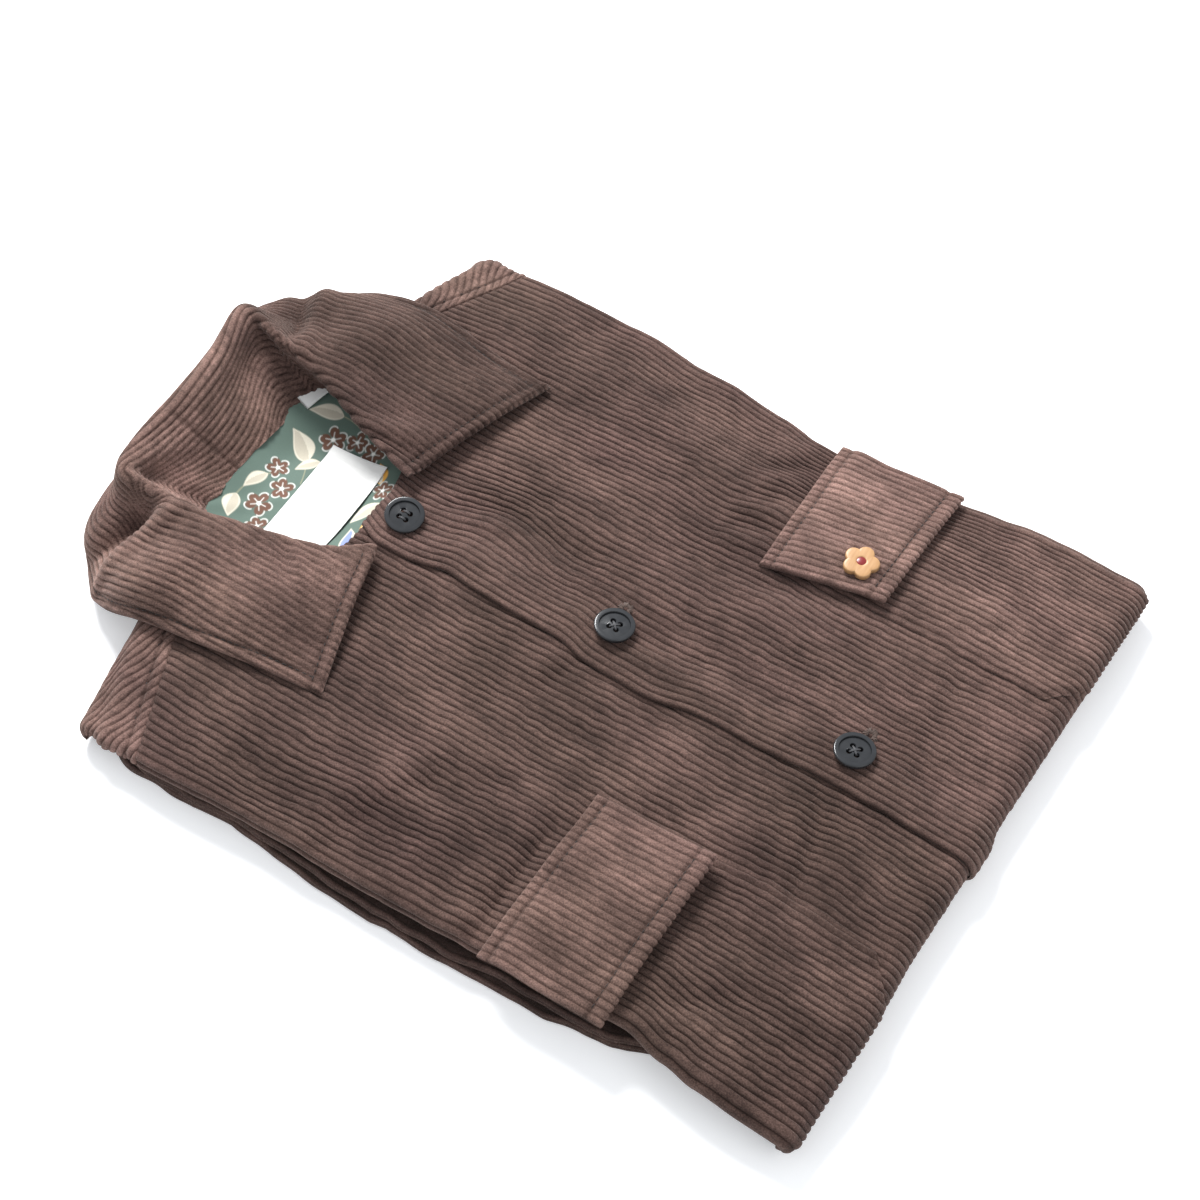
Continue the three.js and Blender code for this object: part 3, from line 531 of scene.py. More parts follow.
def drift(across, along):
    """How far the ribs wander across the cloth."""
    total = 0.5 * waves(across, along, 60, 21) + 0.18 * waves(across, along * 1.5, 17, 22)
    total = total + spots(across, along, DRIFTS, "push")
    return total * (1 - smoothstep(np.abs(across), 146, 162)) * (1 - smoothstep(-along, 178, 196))


# The wales
def rib_height(wales):
    """Height of the ribs, 0 in a groove and 1 on a crest, at a place counted in wales."""
    share = wales - np.floor(wales)
    return 1 - np.abs(2 * share - 1) ** RIB_POWER


def rib_unevenness(wales, along):
    """Each rib has a height of its own, and varies along its length."""
    own = np.sin(np.floor(wales) * 12.9898) * 43758.5453
    own = own - np.floor(own)
    return 0.9 + 0.2 * own + 0.08 * waves(wales * WALE, along, 9, 31)


def wale_count(width):
    """Counts across a width, several in each wale, up to a whole number of wales."""
    wales = round(width / WALE)
    count = (np.arange(wales)[:, None] + np.array(RIB_STEPS)).ravel()
    return np.append(count, wales)


def wale_columns(start, end):
    """Places across a panel, and the wale count at each."""
    count = wale_count(abs(end - start))
    return lerp(start, end, count / count[-1]), count


def roundness(inside, radius=1.5, least=0.22):
    """Share of a wall's thickness near its edges, from the distance inside them."""
    share = 1 - np.clip(inside / radius, 0, 1)
    return least + (1 - least) * np.sqrt(1 - share**2)


def spaced(start, end, step):
    """Even steps from start to end, both of them in."""
    count = max(2, int(round(abs(end - start) / step)) + 1)
    return np.linspace(start, end, count)


# Meshes
def linked(name, data):
    """An object of some data, in the scene."""
    obj = bpy.data.objects.new(name, data)
    bpy.context.scene.collection.objects.link(obj)
    return obj


def new_mesh(name, points, faces):
    """A mesh of points in metres."""
    mesh = bpy.data.meshes.new(name)
    mesh.from_pydata(np.asarray(points).tolist(), [], faces)
    return mesh


def smooth(mesh):
    mesh.polygons.foreach_set("use_smooth", [True] * len(mesh.polygons))
    mesh.update()


def new_object(name, points, faces):
    """A smooth piece from points of the tables' frame."""
    mesh = new_mesh(name, metres(points), faces)
    smooth(mesh)
    return linked(name, mesh)


def paint(obj, **values):
    """Writes numbers to the points of a piece, for its material to read."""
    for name, value in values.items():
        attribute = obj.data.attributes.new(name, "FLOAT", "POINT")
        attribute.data.foreach_set("value", np.asarray(value, np.float32).ravel())


def numbered(rows, columns, closed=False):
    """Point numbers of a grid. A closed one has its first column again at the end."""
    at = np.arange(rows * columns).reshape(rows, columns)
    return np.concatenate([at, at[:, :1]], axis=1) if closed else at


def grid_quads(at):
    """Quads of a grid of point numbers."""
    return np.stack([at[:-1, :-1], at[:-1, 1:], at[1:, 1:], at[1:, :-1]], axis=-1).reshape(-1, 4)


def ring_faces(rows, columns):
    """Faces of a form made of rings from its lower end to its upper one, with both ends closed."""
    at = numbered(rows, columns, closed=True)
    return grid_quads(at).tolist() + [at[0, :-1][::-1].tolist(), at[-1, :-1].tolist()]


def wall(name, outer, inner, row_step=4, column_step=6, **values):
    """A closed wall between two grids of points, whose plain inside keeps every few rows and columns."""
    rows, columns = outer.shape[:2]
    kept_rows = sorted(set(range(0, rows, row_step)) | {rows - 1})
    kept_columns = sorted(set(range(0, columns, column_step)) | {columns - 1})
    out_at = numbered(rows, columns)
    in_points = inner[np.ix_(kept_rows, kept_columns)]
    in_at = rows * columns + numbered(*in_points.shape[:2])
    faces = grid_quads(out_at).tolist() + grid_quads(in_at)[:, ::-1].tolist()
    for line, inside, kept, flip in (
        (out_at[0], in_at[0], kept_columns, True),
        (out_at[-1], in_at[-1], kept_columns, False),
        (out_at[:, 0], in_at[:, 0], kept_rows, False),
        (out_at[:, -1], in_at[:, -1], kept_rows, True),
    ):
        for k in range(len(kept) - 1):
            rim = [int(v) for v in line[kept[k] : kept[k + 1] + 1]]
            rim += [int(inside[k + 1]), int(inside[k])]
            faces.append(rim if flip else rim[::-1])
    points = np.concatenate([outer.reshape(-1, 3), in_points.reshape(-1, 3)])
    obj = new_object(name, points, faces)
    for key, value in values.items():
        value = np.broadcast_to(value, (rows, columns))
        paint(obj, **{key: np.concatenate([value.ravel(), value[np.ix_(kept_rows, kept_columns)].ravel()])})
    return obj


def ribbed(
    name, base, wales, inside, along, tone,
    thick=WALL, press=0, scallop=None, radius=1.5, soft=0, normal=None, **steps,
):
    """A corduroy wall over a grid of base points.

    Wales counts the ribs, inside is the distance from the nearest edge, along runs along the ribs,
    press is 1 on a seam, scallop is the direction in which the ribs stand out of an edge, and soft
    makes the ribs lower and their painted groove shade lighter. The rib number that the material
    reads paints shade in the grooves, deeper along a seam.
    """
    if normal is None:
        normal = normals_of(base)
        if normal[..., 2].mean() < 0:
            normal = -normal
    ribs = rib_height(wales)
    height = RIB * ribs * rib_unevenness(wales, along) * (1 - PRESSED * press) * (1 - 0.5 * soft)
    raised = (thick - PRESSED * press + height) * roundness(inside, radius)
    outer = base + normal * raised[..., None]
    if scallop is not None:
        outer = outer + scallop * (RIB * 0.8 * ribs)[..., None]
    # Painted shade in the grooves: 1 on a crest and 0 in a groove; soft lightens it, and a seam lowers it,
    # deepening the painted shade there
    painted_rib_shading = np.clip(lerp(ribs, 0.75, soft), 0, 1) * (1 - 0.5 * press)
    return wall(name, outer, base, rib=painted_rib_shading, tone=tone, press=press, **steps)


# Fronts
def yoke_seam(across):
    """Where the yokes' seams lie, along the body."""
    right, left = YOKE_SEAMS[-1], YOKE_SEAMS[1]
    return np.where(
        across < 0,
        np.minimum(right["y"] + right["slope"] * (across - right["x"]), right["most"]),
        np.minimum(left["y"] + left["slope"] * (across - left["x"]), left["most"]),
    )


def front_top(across):
    """The fronts' upper edge: the neck in the middle, and the yokes' seams beside it."""
    seam = yoke_seam(across)
    half_width = np.where(across < NECK["x"], NECK["half_width"], NECK["half_width"] + LEAF_ROOM)
    dx = np.abs(across - NECK["x"]) / half_width
    power = NECK["power"]
    neck = NECK["y"] - NECK["half_length"] * np.maximum(0, 1 - np.minimum(dx, 1) ** power) ** (1 / power)
    return np.where(dx >= 1, lerp(NECK["y"], seam, smoothstep(dx, 1, 1.15)), neck)


def hem_end(across, turn=HEM_TURN):
    """Where a cloth ends that turns this far round the hem's fold."""
    x = np.clip(across, -150, 150)
    return hem_edge(x) + hem_radius(x) - turn * (hem_radius(x) + 1)


def front_rows(across, top, last):
    """Rows of a front: from its upper edge, straight across the body, and round the hem's fold."""
    upper, lower = STRAIGHT_ROWS
    straight = spaced(upper, lower, ROW)[:-1, None]
    parts = [
        lerp(top[None, :], upper, np.linspace(0, 1, TOP_ROWS)[:-1, None]),
        np.broadcast_to(straight, (len(straight), len(across))),
        lerp(lower, last[None, :], np.linspace(0, 1, HEM_ROWS)[:, None]),
    ]
    return np.concatenate(parts)


def left_front_lift(across):
    """The left front lies one layer higher where it laps over the right one."""
    return GAP + LAYER * (1 - smoothstep(across, UNDERLAP + 1, UNDERLAP + 16))


def placket_shift(across, along):
    """The placket's edge isn't straight, and the ribs beside it follow it."""
    rows = PLACKET[::-1]
    edge = curve_through(along, [row["y"] for row in rows], [row["x"] for row in rows])
    return (edge - PLACKET_EDGE) * (1 - smoothstep(across, PLACKET_EDGE, PLACKET_EDGE + 70))


def tone_of(across, along, seed, level, zones=True):
    """How the nap lies: patches of lighter and darker cloth, and with the zones one painted shadow below the
    right flap.
    """
    total = 0.07 * waves(across, along * 0.6, 60, seed)
    total = total + 0.06 * waves(across * 1.3, along * 0.5, 24, seed + 1)
    if zones:
        total = total + spots(across, along, NAP_AND_SHADOW, "level")
    return level * (1 + total)


def front_place(across, along, lift, left):
    """place() on a front, with the drift of its ribs."""
    shift = drift(across, along)
    if left:
        shift = shift * smoothstep(across, PLACKET_EDGE, PLACKET_EDGE + 30) + placket_shift(across, along)
    return place(across + shift, along, lift)


def right_front():
    columns, wales = wale_columns(-HALF_WIDTH - SIDE_REACH, UNDERLAP)
    along = front_rows(columns, front_top(columns) + SEAM_LAP, hem_end(columns))
    across = np.broadcast_to(columns, along.shape)
    base = front_place(across, along, GAP, False)
    inside = np.minimum(front_top(across) + SEAM_LAP - along, UNDERLAP - across)
    tone = tone_of(across, along, 41, TONE_AND_SHADE["right_front"])
    return ribbed("right_front_cloth", base, wales, inside, along, tone)


def left_front():
    columns, wales = wale_columns(PLACKET_EDGE, HALF_WIDTH + SIDE_REACH)
    along = front_rows(columns, front_top(columns) + SEAM_LAP, hem_end(columns))
    across = np.broadcast_to(columns, along.shape)
    base = front_place(across, along, left_front_lift(across), True)
    inside = np.minimum(front_top(across) + SEAM_LAP - along, across - PLACKET_EDGE)
    seam = 0.4 * bell(across - PLACKET_STITCH) * smoothstep(-along, -60, -40)
    tone = tone_of(across, along, 43, TONE_AND_SHADE["left_front"])
    return ribbed("left_front_cloth", base, wales, inside, along, tone, press=seam)


# Shoulder yokes
def yoke(side):
    limits = YOKES[side]
    columns = spaced(limits["inner"], limits["outer"], YOKE_COLUMN)
    if side < 0:
        columns = columns[::-1]
    seam = front_top(columns) - SEAM_LAP
    end = shoulder_edge(columns) - SHOULDER_RADIUS + SHOULDER_TURN * (SHOULDER_RADIUS + 1)
    share = np.linspace(0, 1, YOKE_ROWS)[:, None]
    along = lerp(end[None, :], seam[None, :], share)
    across = np.broadcast_to(columns, along.shape)
    fold = 1.6 * bell(along - seam - 15 - 0.1 * (np.abs(across) - 110), 4.5)
    fold = fold - 1.2 * bell(along - seam - 25, 5)
    base = place(across, along, YOKE_LIFT + fold)
    wales = (0.96 * along - 0.29 * np.abs(across)) / WALE
    wales = wales + 0.3 * waves(across, along, 30, 51)
    inside = np.minimum(along - seam, 50)
    press = 0.8 * bell(along - seam - YOKE_STITCH)
    tone = tone_of(across, along, 53, TONE_AND_SHADE["yoke"], False)
    return ribbed(f"{SIDE_WORD[side]}_yoke_cloth", base, wales, inside, along, tone, press=press)


# Patch pockets
def pocket_end(side, across):
    """Where the pocket stops, past the hem's fold: its lower inner corner is cut off."""
    limits = POCKETS[side]
    inset = np.clip(1 - np.abs(across - limits["inner"]) / limits["cut"], 0, 1)
    start = hem_end(across, 0) - 0.5
    return lerp(hem_end(across, HEM_TURN / 2), start + POCKET_CORNER, inset)


def pocket(side):
    limits = POCKETS[side]
    columns, wales = wale_columns(limits["inner"], limits["outer"])
    if side < 0:
        columns, wales = columns[::-1], wales[::-1]
    end = pocket_end(side, columns)
    share = np.linspace(0, 1, POCKET_ROWS)[:, None]
    along = lerp(POCKET_TOP, end[None, :], share)
    across = np.broadcast_to(columns, along.shape)
    base = front_place(across, along, POCKET_LIFT, side > 0)
    edge = np.abs(across - limits["inner"])
    from_cut = (along - end) * POCKET_BEVEL
    press = 0.55 * np.maximum(bell(edge - POCKET_STITCH, 0.8), bell(from_cut - POCKET_STITCH, 0.8))
    return ribbed(
        f"{SIDE_WORD[side]}_pocket_cloth", base, wales, np.minimum(edge, from_cut), along,
        tone_of(across, along, 61, TONE_AND_SHADE["pocket"]), thick=POCKET_THICK, press=press,
    )


# Pocket flaps
def flap_at(side, share, down):
    """Place on the cloth: share runs from the flap's inner edge outwards, down from its seam."""
    f = FLAPS[side]
    top = [lerp(f["top_in"][k], f["top_out"][k], share) for k in (0, 1)]
    low = [lerp(f["low_in"][k], f["low_out"][k], share) for k in (0, 1)]
    return [lerp(top[k], low[k], down) for k in (0, 1)]


def flap_place(side, share, down):
    """Points of a flap's underside, over the pocket and a little past the bundle's side."""
    across, along = flap_at(side, share, down)
    turn_at = side_edge(across, along) - SIDE_RADIUS
    past = np.maximum(0, np.abs(across) - turn_at)
    lift = GAP + LAYER + (LAYER - 0.4) * smoothstep(down, 0.02, 0.2) + FLAP_RISE * down * (1 - share)
    lift = lift + lerp(*FLAP_LIFT[side], share) * down**2 + 0.35 * waves(across, along, 30, 71)
    point = place(np.clip(across, -turn_at, turn_at), along, lift)
    point[..., 0] = across
    point[..., 2] += FLAP_OVERHANG * past
    return point


def flap(side):
    f = FLAPS[side]
    width = abs(f["top_out"][0] - f["top_in"][0])
    count = wale_count(width)
    edge_rows = np.array(FLAP_EDGE_ROWS) / FLAP_HEIGHT
    middle_rows = np.linspace(2.6 / FLAP_HEIGHT, 1 - 2.6 / FLAP_HEIGHT, 54)
    down = np.concatenate([edge_rows, middle_rows, 1 - edge_rows[::-1]])[:, None]
    share = (count / count[-1])[None, :]
    if side < 0:
        share, count = share[:, ::-1], count[::-1]
    down, share = np.broadcast_arrays(down, share)
    base = flap_place(side, share, down)
    across, along = flap_at(side, share, down)
    inside = np.minimum(np.minimum(down, 1 - down) * FLAP_HEIGHT, np.minimum(share, 1 - share) * width)
    seams = [bell((down - seam) * FLAP_HEIGHT) for seam in (FLAP_SEAM_TOP, FLAP_SEAM_LOW)]
    scallop = np.zeros(base.shape)
    scallop[..., 1] = -(1 - smoothstep((1 - down) * FLAP_HEIGHT, 0, 1.5))
    return ribbed(
        f"{SIDE_WORD[side]}_flap_cloth", base, count, inside, along,
        tone_of(across, along, 73, FLAP_TONE[side], False),
        # soft also lightens the painted shade in the flaps' grooves
        thick=FLAP_THICK, press=np.maximum(*seams), scallop=scallop, radius=1.9, soft=0.35,
    )


# Collar
def catmull_row(values, position):
    """Smooth values between a table's rows, at a position counted in rows."""
    values = np.asarray(values, float)
    last = len(values) - 1
    k = np.minimum(np.floor(position).astype(int), last - 1)
    t = position - k
    if values.ndim > 1:
        t = t[:, None]
    a, b, c, d = (values[np.clip(k + step, 0, last)] for step in (-1, 0, 1, 2))
    return b + 0.5 * ((c - a) * t + (2 * a - 5 * b + 4 * c - d) * t**2 + (3 * b - a - 3 * c + d) * t**3)


def centripetal(points, share):
    """A centripetal curve through the points of each row, at shares of its length in segments."""
    count = points.shape[1] - 1
    before = 2 * points[:, :1] - points[:, 1:2]
    after = 2 * points[:, -1:] - points[:, -2:-1]
    points = np.concatenate([before, points, after], axis=1)
    whole = share * count
    k = np.minimum(np.floor(whole).astype(int), count - 1)
    t = (whole - k)[None, :, None]
    p0, p1, p2, p3 = (points[:, k + step] for step in range(4))
    d0, d1, d2 = (
        np.sqrt(np.maximum(np.linalg.norm(b - a, axis=-1, keepdims=True), 1e-6))
        for a, b in ((p0, p1), (p1, p2), (p2, p3))
    )
    start = ((p1 - p0) / d0 - (p2 - p0) / (d0 + d1) + (p2 - p1) / d1) * d1
    end = ((p2 - p1) / d1 - (p3 - p1) / (d1 + d2) + (p3 - p2) / d2) * d1
    bend = -3 * p1 + 3 * p2 - 2 * start - end
    twist = 2 * p1 - 2 * p2 + start + end
    return p1 + start * t + bend * t**2 + twist * t**3


def softened(points, rounds):
    """A grid's points, drawn so many times towards their neighbours in a row and then in a column."""
    for axis, times in zip((1, 0), rounds):
        points = np.moveaxis(points.copy(), axis, 0)
        for _ in range(times):
            points[1:-1] = 0.25 * points[:-2] + 0.5 * points[1:-1] + 0.25 * points[2:]
        points = np.moveaxis(points, 0, axis)
    return points


def collar_normals(surface):
    """Normals on the collar's outer side, which faces up on the first leaf."""
    normal = normals_of(surface)
    on_leaf = normal[: len(normal) // 5, -20:, 2]
    return -normal if on_leaf.mean() < 0 else normal


def collar_middle(round_share, down_share):
    """The collar's middle surface: rows go round the neck, columns from neck seam to free edge."""
    position = round_share * (len(COLLAR) - 1)
    keys = ("neck", "roll", "edge", "puff", "swell")
    neck, roll, edge, puff, swell = (catmull_row([row[key] for row in COLLAR], position) for key in keys)
    fall = edge - roll
    fall /= np.linalg.norm(fall, axis=1, keepdims=True)
    up = np.array([0, 0, 1.0]) - fall[:, 2:3] * fall
    up /= np.linalg.norm(up, axis=1, keepdims=True)
    stand = lerp(neck, roll, 0.6)
    third = lerp(roll, edge, 0.33) + up * puff[:, None]
    two_thirds = lerp(roll, edge, 0.67) + up * swell[:, None]
    points = np.stack([neck, stand, roll, third, two_thirds, edge], axis=1)
    middle = softened(centripetal(points, down_share), SOFTENED)
    bump = 0.5 * waves(round_share[:, None] * COLLAR_ROUND, down_share[None, :] * 110, 38, 81)
    at = np.stack(np.broadcast_arrays(position[:, None] * COLLAR_ROW, down_share[None, :] * COLLAR_DOWN))
    for c in COLLAR_CREASES:
        start = np.array([c["row"] * COLLAR_ROW, c["down"] * COLLAR_DOWN])
        run = np.array([c["to_row"] * COLLAR_ROW, c["to_down"] * COLLAR_DOWN]) - start
        length = np.linalg.norm(run)
        off = at - start[:, None, None]
        along = (off[0] * run[0] + off[1] * run[1]) / length - length / 2
        across = (off[1] * run[0] - off[0] * run[1]) / length
        bump = bump + c["height"] * np.exp(-((2 * along / (length + 6)) ** 4) - (across / c["width"]) ** 2)
    near_roll = bell((down_share[None, :] - STAND_SHARE) * COLLAR_DOWN, HOLLOW_FADE["width"])
    bump = np.where(bump < 0, bump * (1 - HOLLOW_FADE["by"] * near_roll), bump)
    return softened(middle + collar_normals(middle) * bump[..., None], CREASES_SOFTENED)


def collar():
    rows, columns = COLLAR_GRID
    round_share = np.linspace(0, 1, rows)
    edge_steps = 1 - np.array(COLLAR_EDGE_STEPS) / COLLAR_DOWN
    even = np.linspace(0, 1 - 1.7 / COLLAR_DOWN, columns - len(edge_steps))
    down_share = np.concatenate([even, edge_steps[::-1]])
    middle = collar_middle(round_share, down_share)
    normal = collar_normals(middle)
    # The inner cloth comes up to the outer one in the roll, where it would fold over itself
    pinch = bell(down_share[None, :, None] - ROLL_PINCH["at"], ROLL_PINCH["width"])
    inner = COLLAR_HALF * (1 - ROLL_PINCH["by"] * pinch)
    base = middle - normal * inner
    from_edge = arc_lengths(middle[:, ::-1], 1)[:, ::-1]
    round_length = arc_lengths(middle, 0)
    from_front = np.minimum(round_length, round_length[-1:] - round_length)
    share = round_share[:, None]
    lean = COLLAR_LEAN["right"] * (1 - smoothstep(share, 0, 0.27))
    lean = lean + COLLAR_LEAN["left"] * smoothstep(share, 0.79, 1)
    wales = (from_edge + lean) / WALE + 0.25 * waves(share * COLLAR_ROUND, from_edge, 60, 83)
    fall = smoothstep(down_share[None, :], STAND_SHARE - 0.02, STAND_SHARE + 0.02)
    inside = np.minimum(from_edge, lerp(9, from_front, fall))
    press = np.maximum(bell(from_edge - COLLAR_STITCH), fall * bell(from_front - COLLAR_STITCH))
    on_band = 1 - smoothstep(down_share[None, :], 0.34, 0.4)
    centre_seam = bell((share - COLLAR_CENTRE) * COLLAR_ROUND, 0.8) * on_band
    press = np.maximum(0.9 * press, centre_seam)
    on_left = smoothstep(share, *LEFT_LEAF)
    # painted light on the stand, from the band's tone
    level = lerp(COLLAR_TONE["right"], COLLAR_TONE["left"], on_left) * lerp(COLLAR_TONE["painted_band_light"], 1, fall)
    tone = level * (1 + 0.12 * waves(share * COLLAR_ROUND, from_edge * 0.7, 60, 85))
    return ribbed(
        "collar_cloth", base, wales, inside, share * COLLAR_ROUND, tone,
        thick=COLLAR_HALF + inner[..., 0], press=press, radius=2.0, normal=normal, row_step=2, column_step=2,
        # a negative soft deepens the painted shade in the left leaf's grooves
        soft=-0.35 * on_left,
    )


def keep(obj, material, slot_name, nodes=(), **sheet):
    """Gives a piece its material, hangs it under the root body and hides the model's parts it replaces."""
    obj.data.materials.append(material)
    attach(obj, "root")
    if nodes:
        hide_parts(*nodes)


# Layers folded under the fronts, from the lowest up. Each has a rounded lip between two heights,
# set in from the sides, the hem and the shoulders. Peep is its share of how far PEEP lets it stand out.
LIPS = table(
    "low high inset depth hem shoulder peep",
    (0.15, 3.6, 0, 2.4, 16, 11, 1),
    (3.5, 6.6, 1.4, 3.0, 15, 10, 0.85),
    (6.5, 9.9, 5.2, 3.2, 9, 8, 0.2),
    (9.8, 14.4, 6.0, 3.6, 3.2, 4.2, 0),
    (14.2, 17.6, 6.2, 3.0, 3.6, 4.8, 0),
)
# How far the lowest layers stand out of the sides
PEEP = table(
    "y right left",
    (178, -5, -3),
    (160, 3, 1),
    (104, 3.6, 3),
    (84, 0.8, 0),
    (62, 3.2, -2),
    (30, 6.6, 1.5),
    (6, 8.4, 4),
    (-2, 7, 4.5),
    (-40, 9.6, 3),
    (-82, 11.2, -1),
    (-112, 8, 2),
    (-142, -3, 3),
    (-180, -4, -3),
    (-205, -4, -3),
)
LIP_ANGLES = np.linspace(-math.pi / 2, math.pi / 2, 13)
LIP_POINTS = 880
LIP_STEP = 1.7  # millimetres from one of those points to the next, about
TOP_RINGS = (0.97, 0.9, 0.8, 0.68, 0.55, 0.42, 0.28, 0.14, 0.03)
LAYERS_TOP = FOLD_ROOM + 0.5  # how far the layers' flat top stays under the pile's height


def round_square(corner, count):
    """A square from -1 to 1 with round corners, as points spread evenly round it."""
    flat = 1 - corner
    points = []
    for k, (cx, cy) in enumerate(((flat, flat), (-flat, flat), (-flat, -flat), (flat, -flat))):
        for angle in np.linspace(0, math.pi / 2, 24):
            turn = angle + k * math.pi / 2
            points.append((cx + corner * math.cos(turn), cy + corner * math.sin(turn)))
    points.append(points[0])
    points = np.array(points)
    length = arc_lengths(points[None], 1)[0]
    at = np.linspace(0, length[-1], count, endpoint=False)
    return np.stack([np.interp(at, length, points[:, k]) for k in (0, 1)], axis=1)


def folded_layers():
    """The back, the sleeves and the fronts' folded parts, as one form with ribbed lips round it."""
    outline = round_square(0.1, LIP_POINTS)
    ux, uy = outline[:, 0], outline[:, 1]
    rim_at = np.arange(len(outline)) * LIP_STEP
    peep_at = [row["y"] for row in PEEP[::-1]]

    def ring(share, inset, hem, shoulder, peep=0):
        low = hem_edge(ux * HALF_WIDTH) + inset + hem
        high = shoulder_edge(ux * HALF_WIDTH) - inset - shoulder
        y = lerp(low, high, (share * uy + 1) / 2)
        right, left = (np.interp(y, peep_at, [row[key] for row in PEEP[::-1]]) for key in ("right", "left"))
        out = peep * np.where(ux < 0, right, left)
        return share * ux * (narrow_edge(ux, y) - inset + out), y

    rings, profile = [], []
    for number, lip in enumerate(LIPS):
        wander = 1.1 * waves(rim_at, number * 400.0, 90, 91 + number)
        wander = wander + 0.4 * waves(rim_at, number * 300.0, 24, 95)
        centre, half = (lip["low"] + lip["high"]) / 2, (lip["high"] - lip["low"]) / 2
        for angle in LIP_ANGLES:
            inset = lip["inset"] + lip["depth"] * (1 - math.cos(angle)) + wander
            x, y = ring(1, inset, lip["hem"], lip["shoulder"], lip["peep"])
            z = np.full(len(x), centre + half * math.sin(angle))
            rings.append(np.stack([x, y, z], axis=-1))
            profile.append(number + (angle / math.pi + 0.5) * 3.3 + number * 2)
    for share in TOP_RINGS:
        x, y = ring(share, 6, 6, 6)
        rings.append(np.stack([x, y, np.maximum(pile(x, y, False) - LAYERS_TOP, 8)], axis=-1))
        profile.append(0)
    rings = np.array(rings)
    normal = normals_of(rings)
    sideways = np.abs(normal[..., 0]) > np.abs(normal[..., 1])
    wales = np.where(sideways, np.array(profile)[:, None], rings[..., 0] / WALE)
    ribs = rib_height(wales)
    outward = np.sign(rings[..., 0] * normal[..., 0] + rings[..., 1] * normal[..., 1])
    on_lip = np.arange(len(rings)) < len(LIP_ANGLES) * len(LIPS)
    off_floor = smoothstep(rings[..., 2], 0.5, 2)
    height = RIB * ribs * on_lip[:, None] * off_floor
    points = rings + normal * (outward * height)[..., None]
    top = pile(points[..., 0], points[..., 1], False) - LAYERS_TOP
    points[..., 2] = np.clip(points[..., 2], 0.1, np.maximum(top, 1))
    faces = [face[::-1] for face in ring_faces(*rings.shape[:2])]
    obj = new_object("folded_layers", points.reshape(-1, 3), faces)
    # The lips' rib number paints shade in their grooves, and the layers' tone is painted shade under the
    # fronts
    paint(obj, rib=ribs, tone=np.full(ribs.shape, TONE_AND_SHADE["layers"]), press=np.zeros(ribs.shape))
    return obj


# Neck lining, label and size tab
BLOSSOMS = table(
    "x y size turn",
    (-43, 174, 6.6, 10),
    (-33, 167, 5.6, 40),
    (-22, 174, 6.8, 65),
    (-9, 170, 6.2, 20),
    (0, 179, 5.6, 50),
    (27, 165, 6.8, 30),
    (31, 153, 5.6, 5),
    (29, 142, 6.2, 60),
    (-47, 158, 6.0, 80),
    (12, 124, 5.4, 15),
    (-34, 124, 5.6, 45),
)
LEAVES = table(
    "x y length width turn tint",
    (17, 176, 19, 10.5, 55, 0),
    (38, 176, 18, 8, 110, 0),
    (-31, 184, 14, 8, 200, 0),
    (-12, 184, 14, 6, 160, 0),
    (-51, 167, 12, 7, 75, 0),
    (9, 168, 13, 6, 140, 0),
    (-20, 121, 16, 8, 20, 1),
    (-2, 125, 17, 8, 150, 0),
    (-8, 118, 14, 6, 10, 2),
    (10, 117, 13, 6, 170, 1),
    (36, 133, 15, 7, 80, 0),
    (-44, 140, 15, 7, 100, 0),
    (21, 131, 13, 6.5, 35, 2),
)
PRINT_STEP = 0.42
PRINT = {
    "ground": (0.1, 0.148, 0.122),
    "petal": (0.13, 0.062, 0.04),
    "outline": (0.8, 0.8, 0.76),
    "leaf": (0.5, 0.46, 0.37),
    "cream": (0.66, 0.62, 0.51),
    "blue": (0.22, 0.27, 0.5),
    "stem": (0.3, 0.3, 0.2),
    "gold": (0.75, 0.38, 0.07),
}


def neck_floor(x, y):
    return pile(x, y, False) - FOLD_ROOM + 2 * GAP


def lay_colour(colours, name, cover):
    """Lays one of the print's colours over those of the points, as far as it covers them."""
    cover = np.clip(cover, 0, 1)[..., None]
    colours[...] = colours * (1 - cover) + np.array(PRINT[name]) * cover


def edge_cover(distance, soft=0.35):
    """Cover of a printed form: 1 where the distance to its edge is negative."""
    return 1 - smoothstep(distance, -soft, soft)


def print_blossom(colours, x, y, b):
    """A five-petalled blossom with a pale outline beside each petal, and pale threads in its eye."""
    for k in range(5):
        angle = math.radians(b["turn"] + 72 * k + 7 * math.sin(3 * k + b["turn"]))
        px = b["x"] + 0.58 * b["size"] * math.cos(angle)
        py = b["y"] + 0.58 * b["size"] * math.sin(angle)
        along, across = turned(x - px, y - py, angle)
        reach = np.hypot(along / 1.1, across / 0.95)
        radius = 0.36 * b["size"]
        lay_colour(colours, "petal", edge_cover(reach - radius))
        offset = np.hypot((along - 0.35) / 1.1, (across - 0.4) / 0.95)
        ring = np.abs(offset - radius) - 0.22
        lay_colour(colours, "outline", edge_cover(ring) * (along > -0.1 * radius) * (across > -0.5 * radius))
        thread = np.abs(across) - 0.16
        lay_colour(colours, "outline", edge_cover(thread) * (np.abs(along + 0.7 * radius) < 0.75 * radius))
    lay_colour(colours, "outline", edge_cover(np.hypot(x - b["x"], y - b["y"]) - 0.16 * b["size"]))


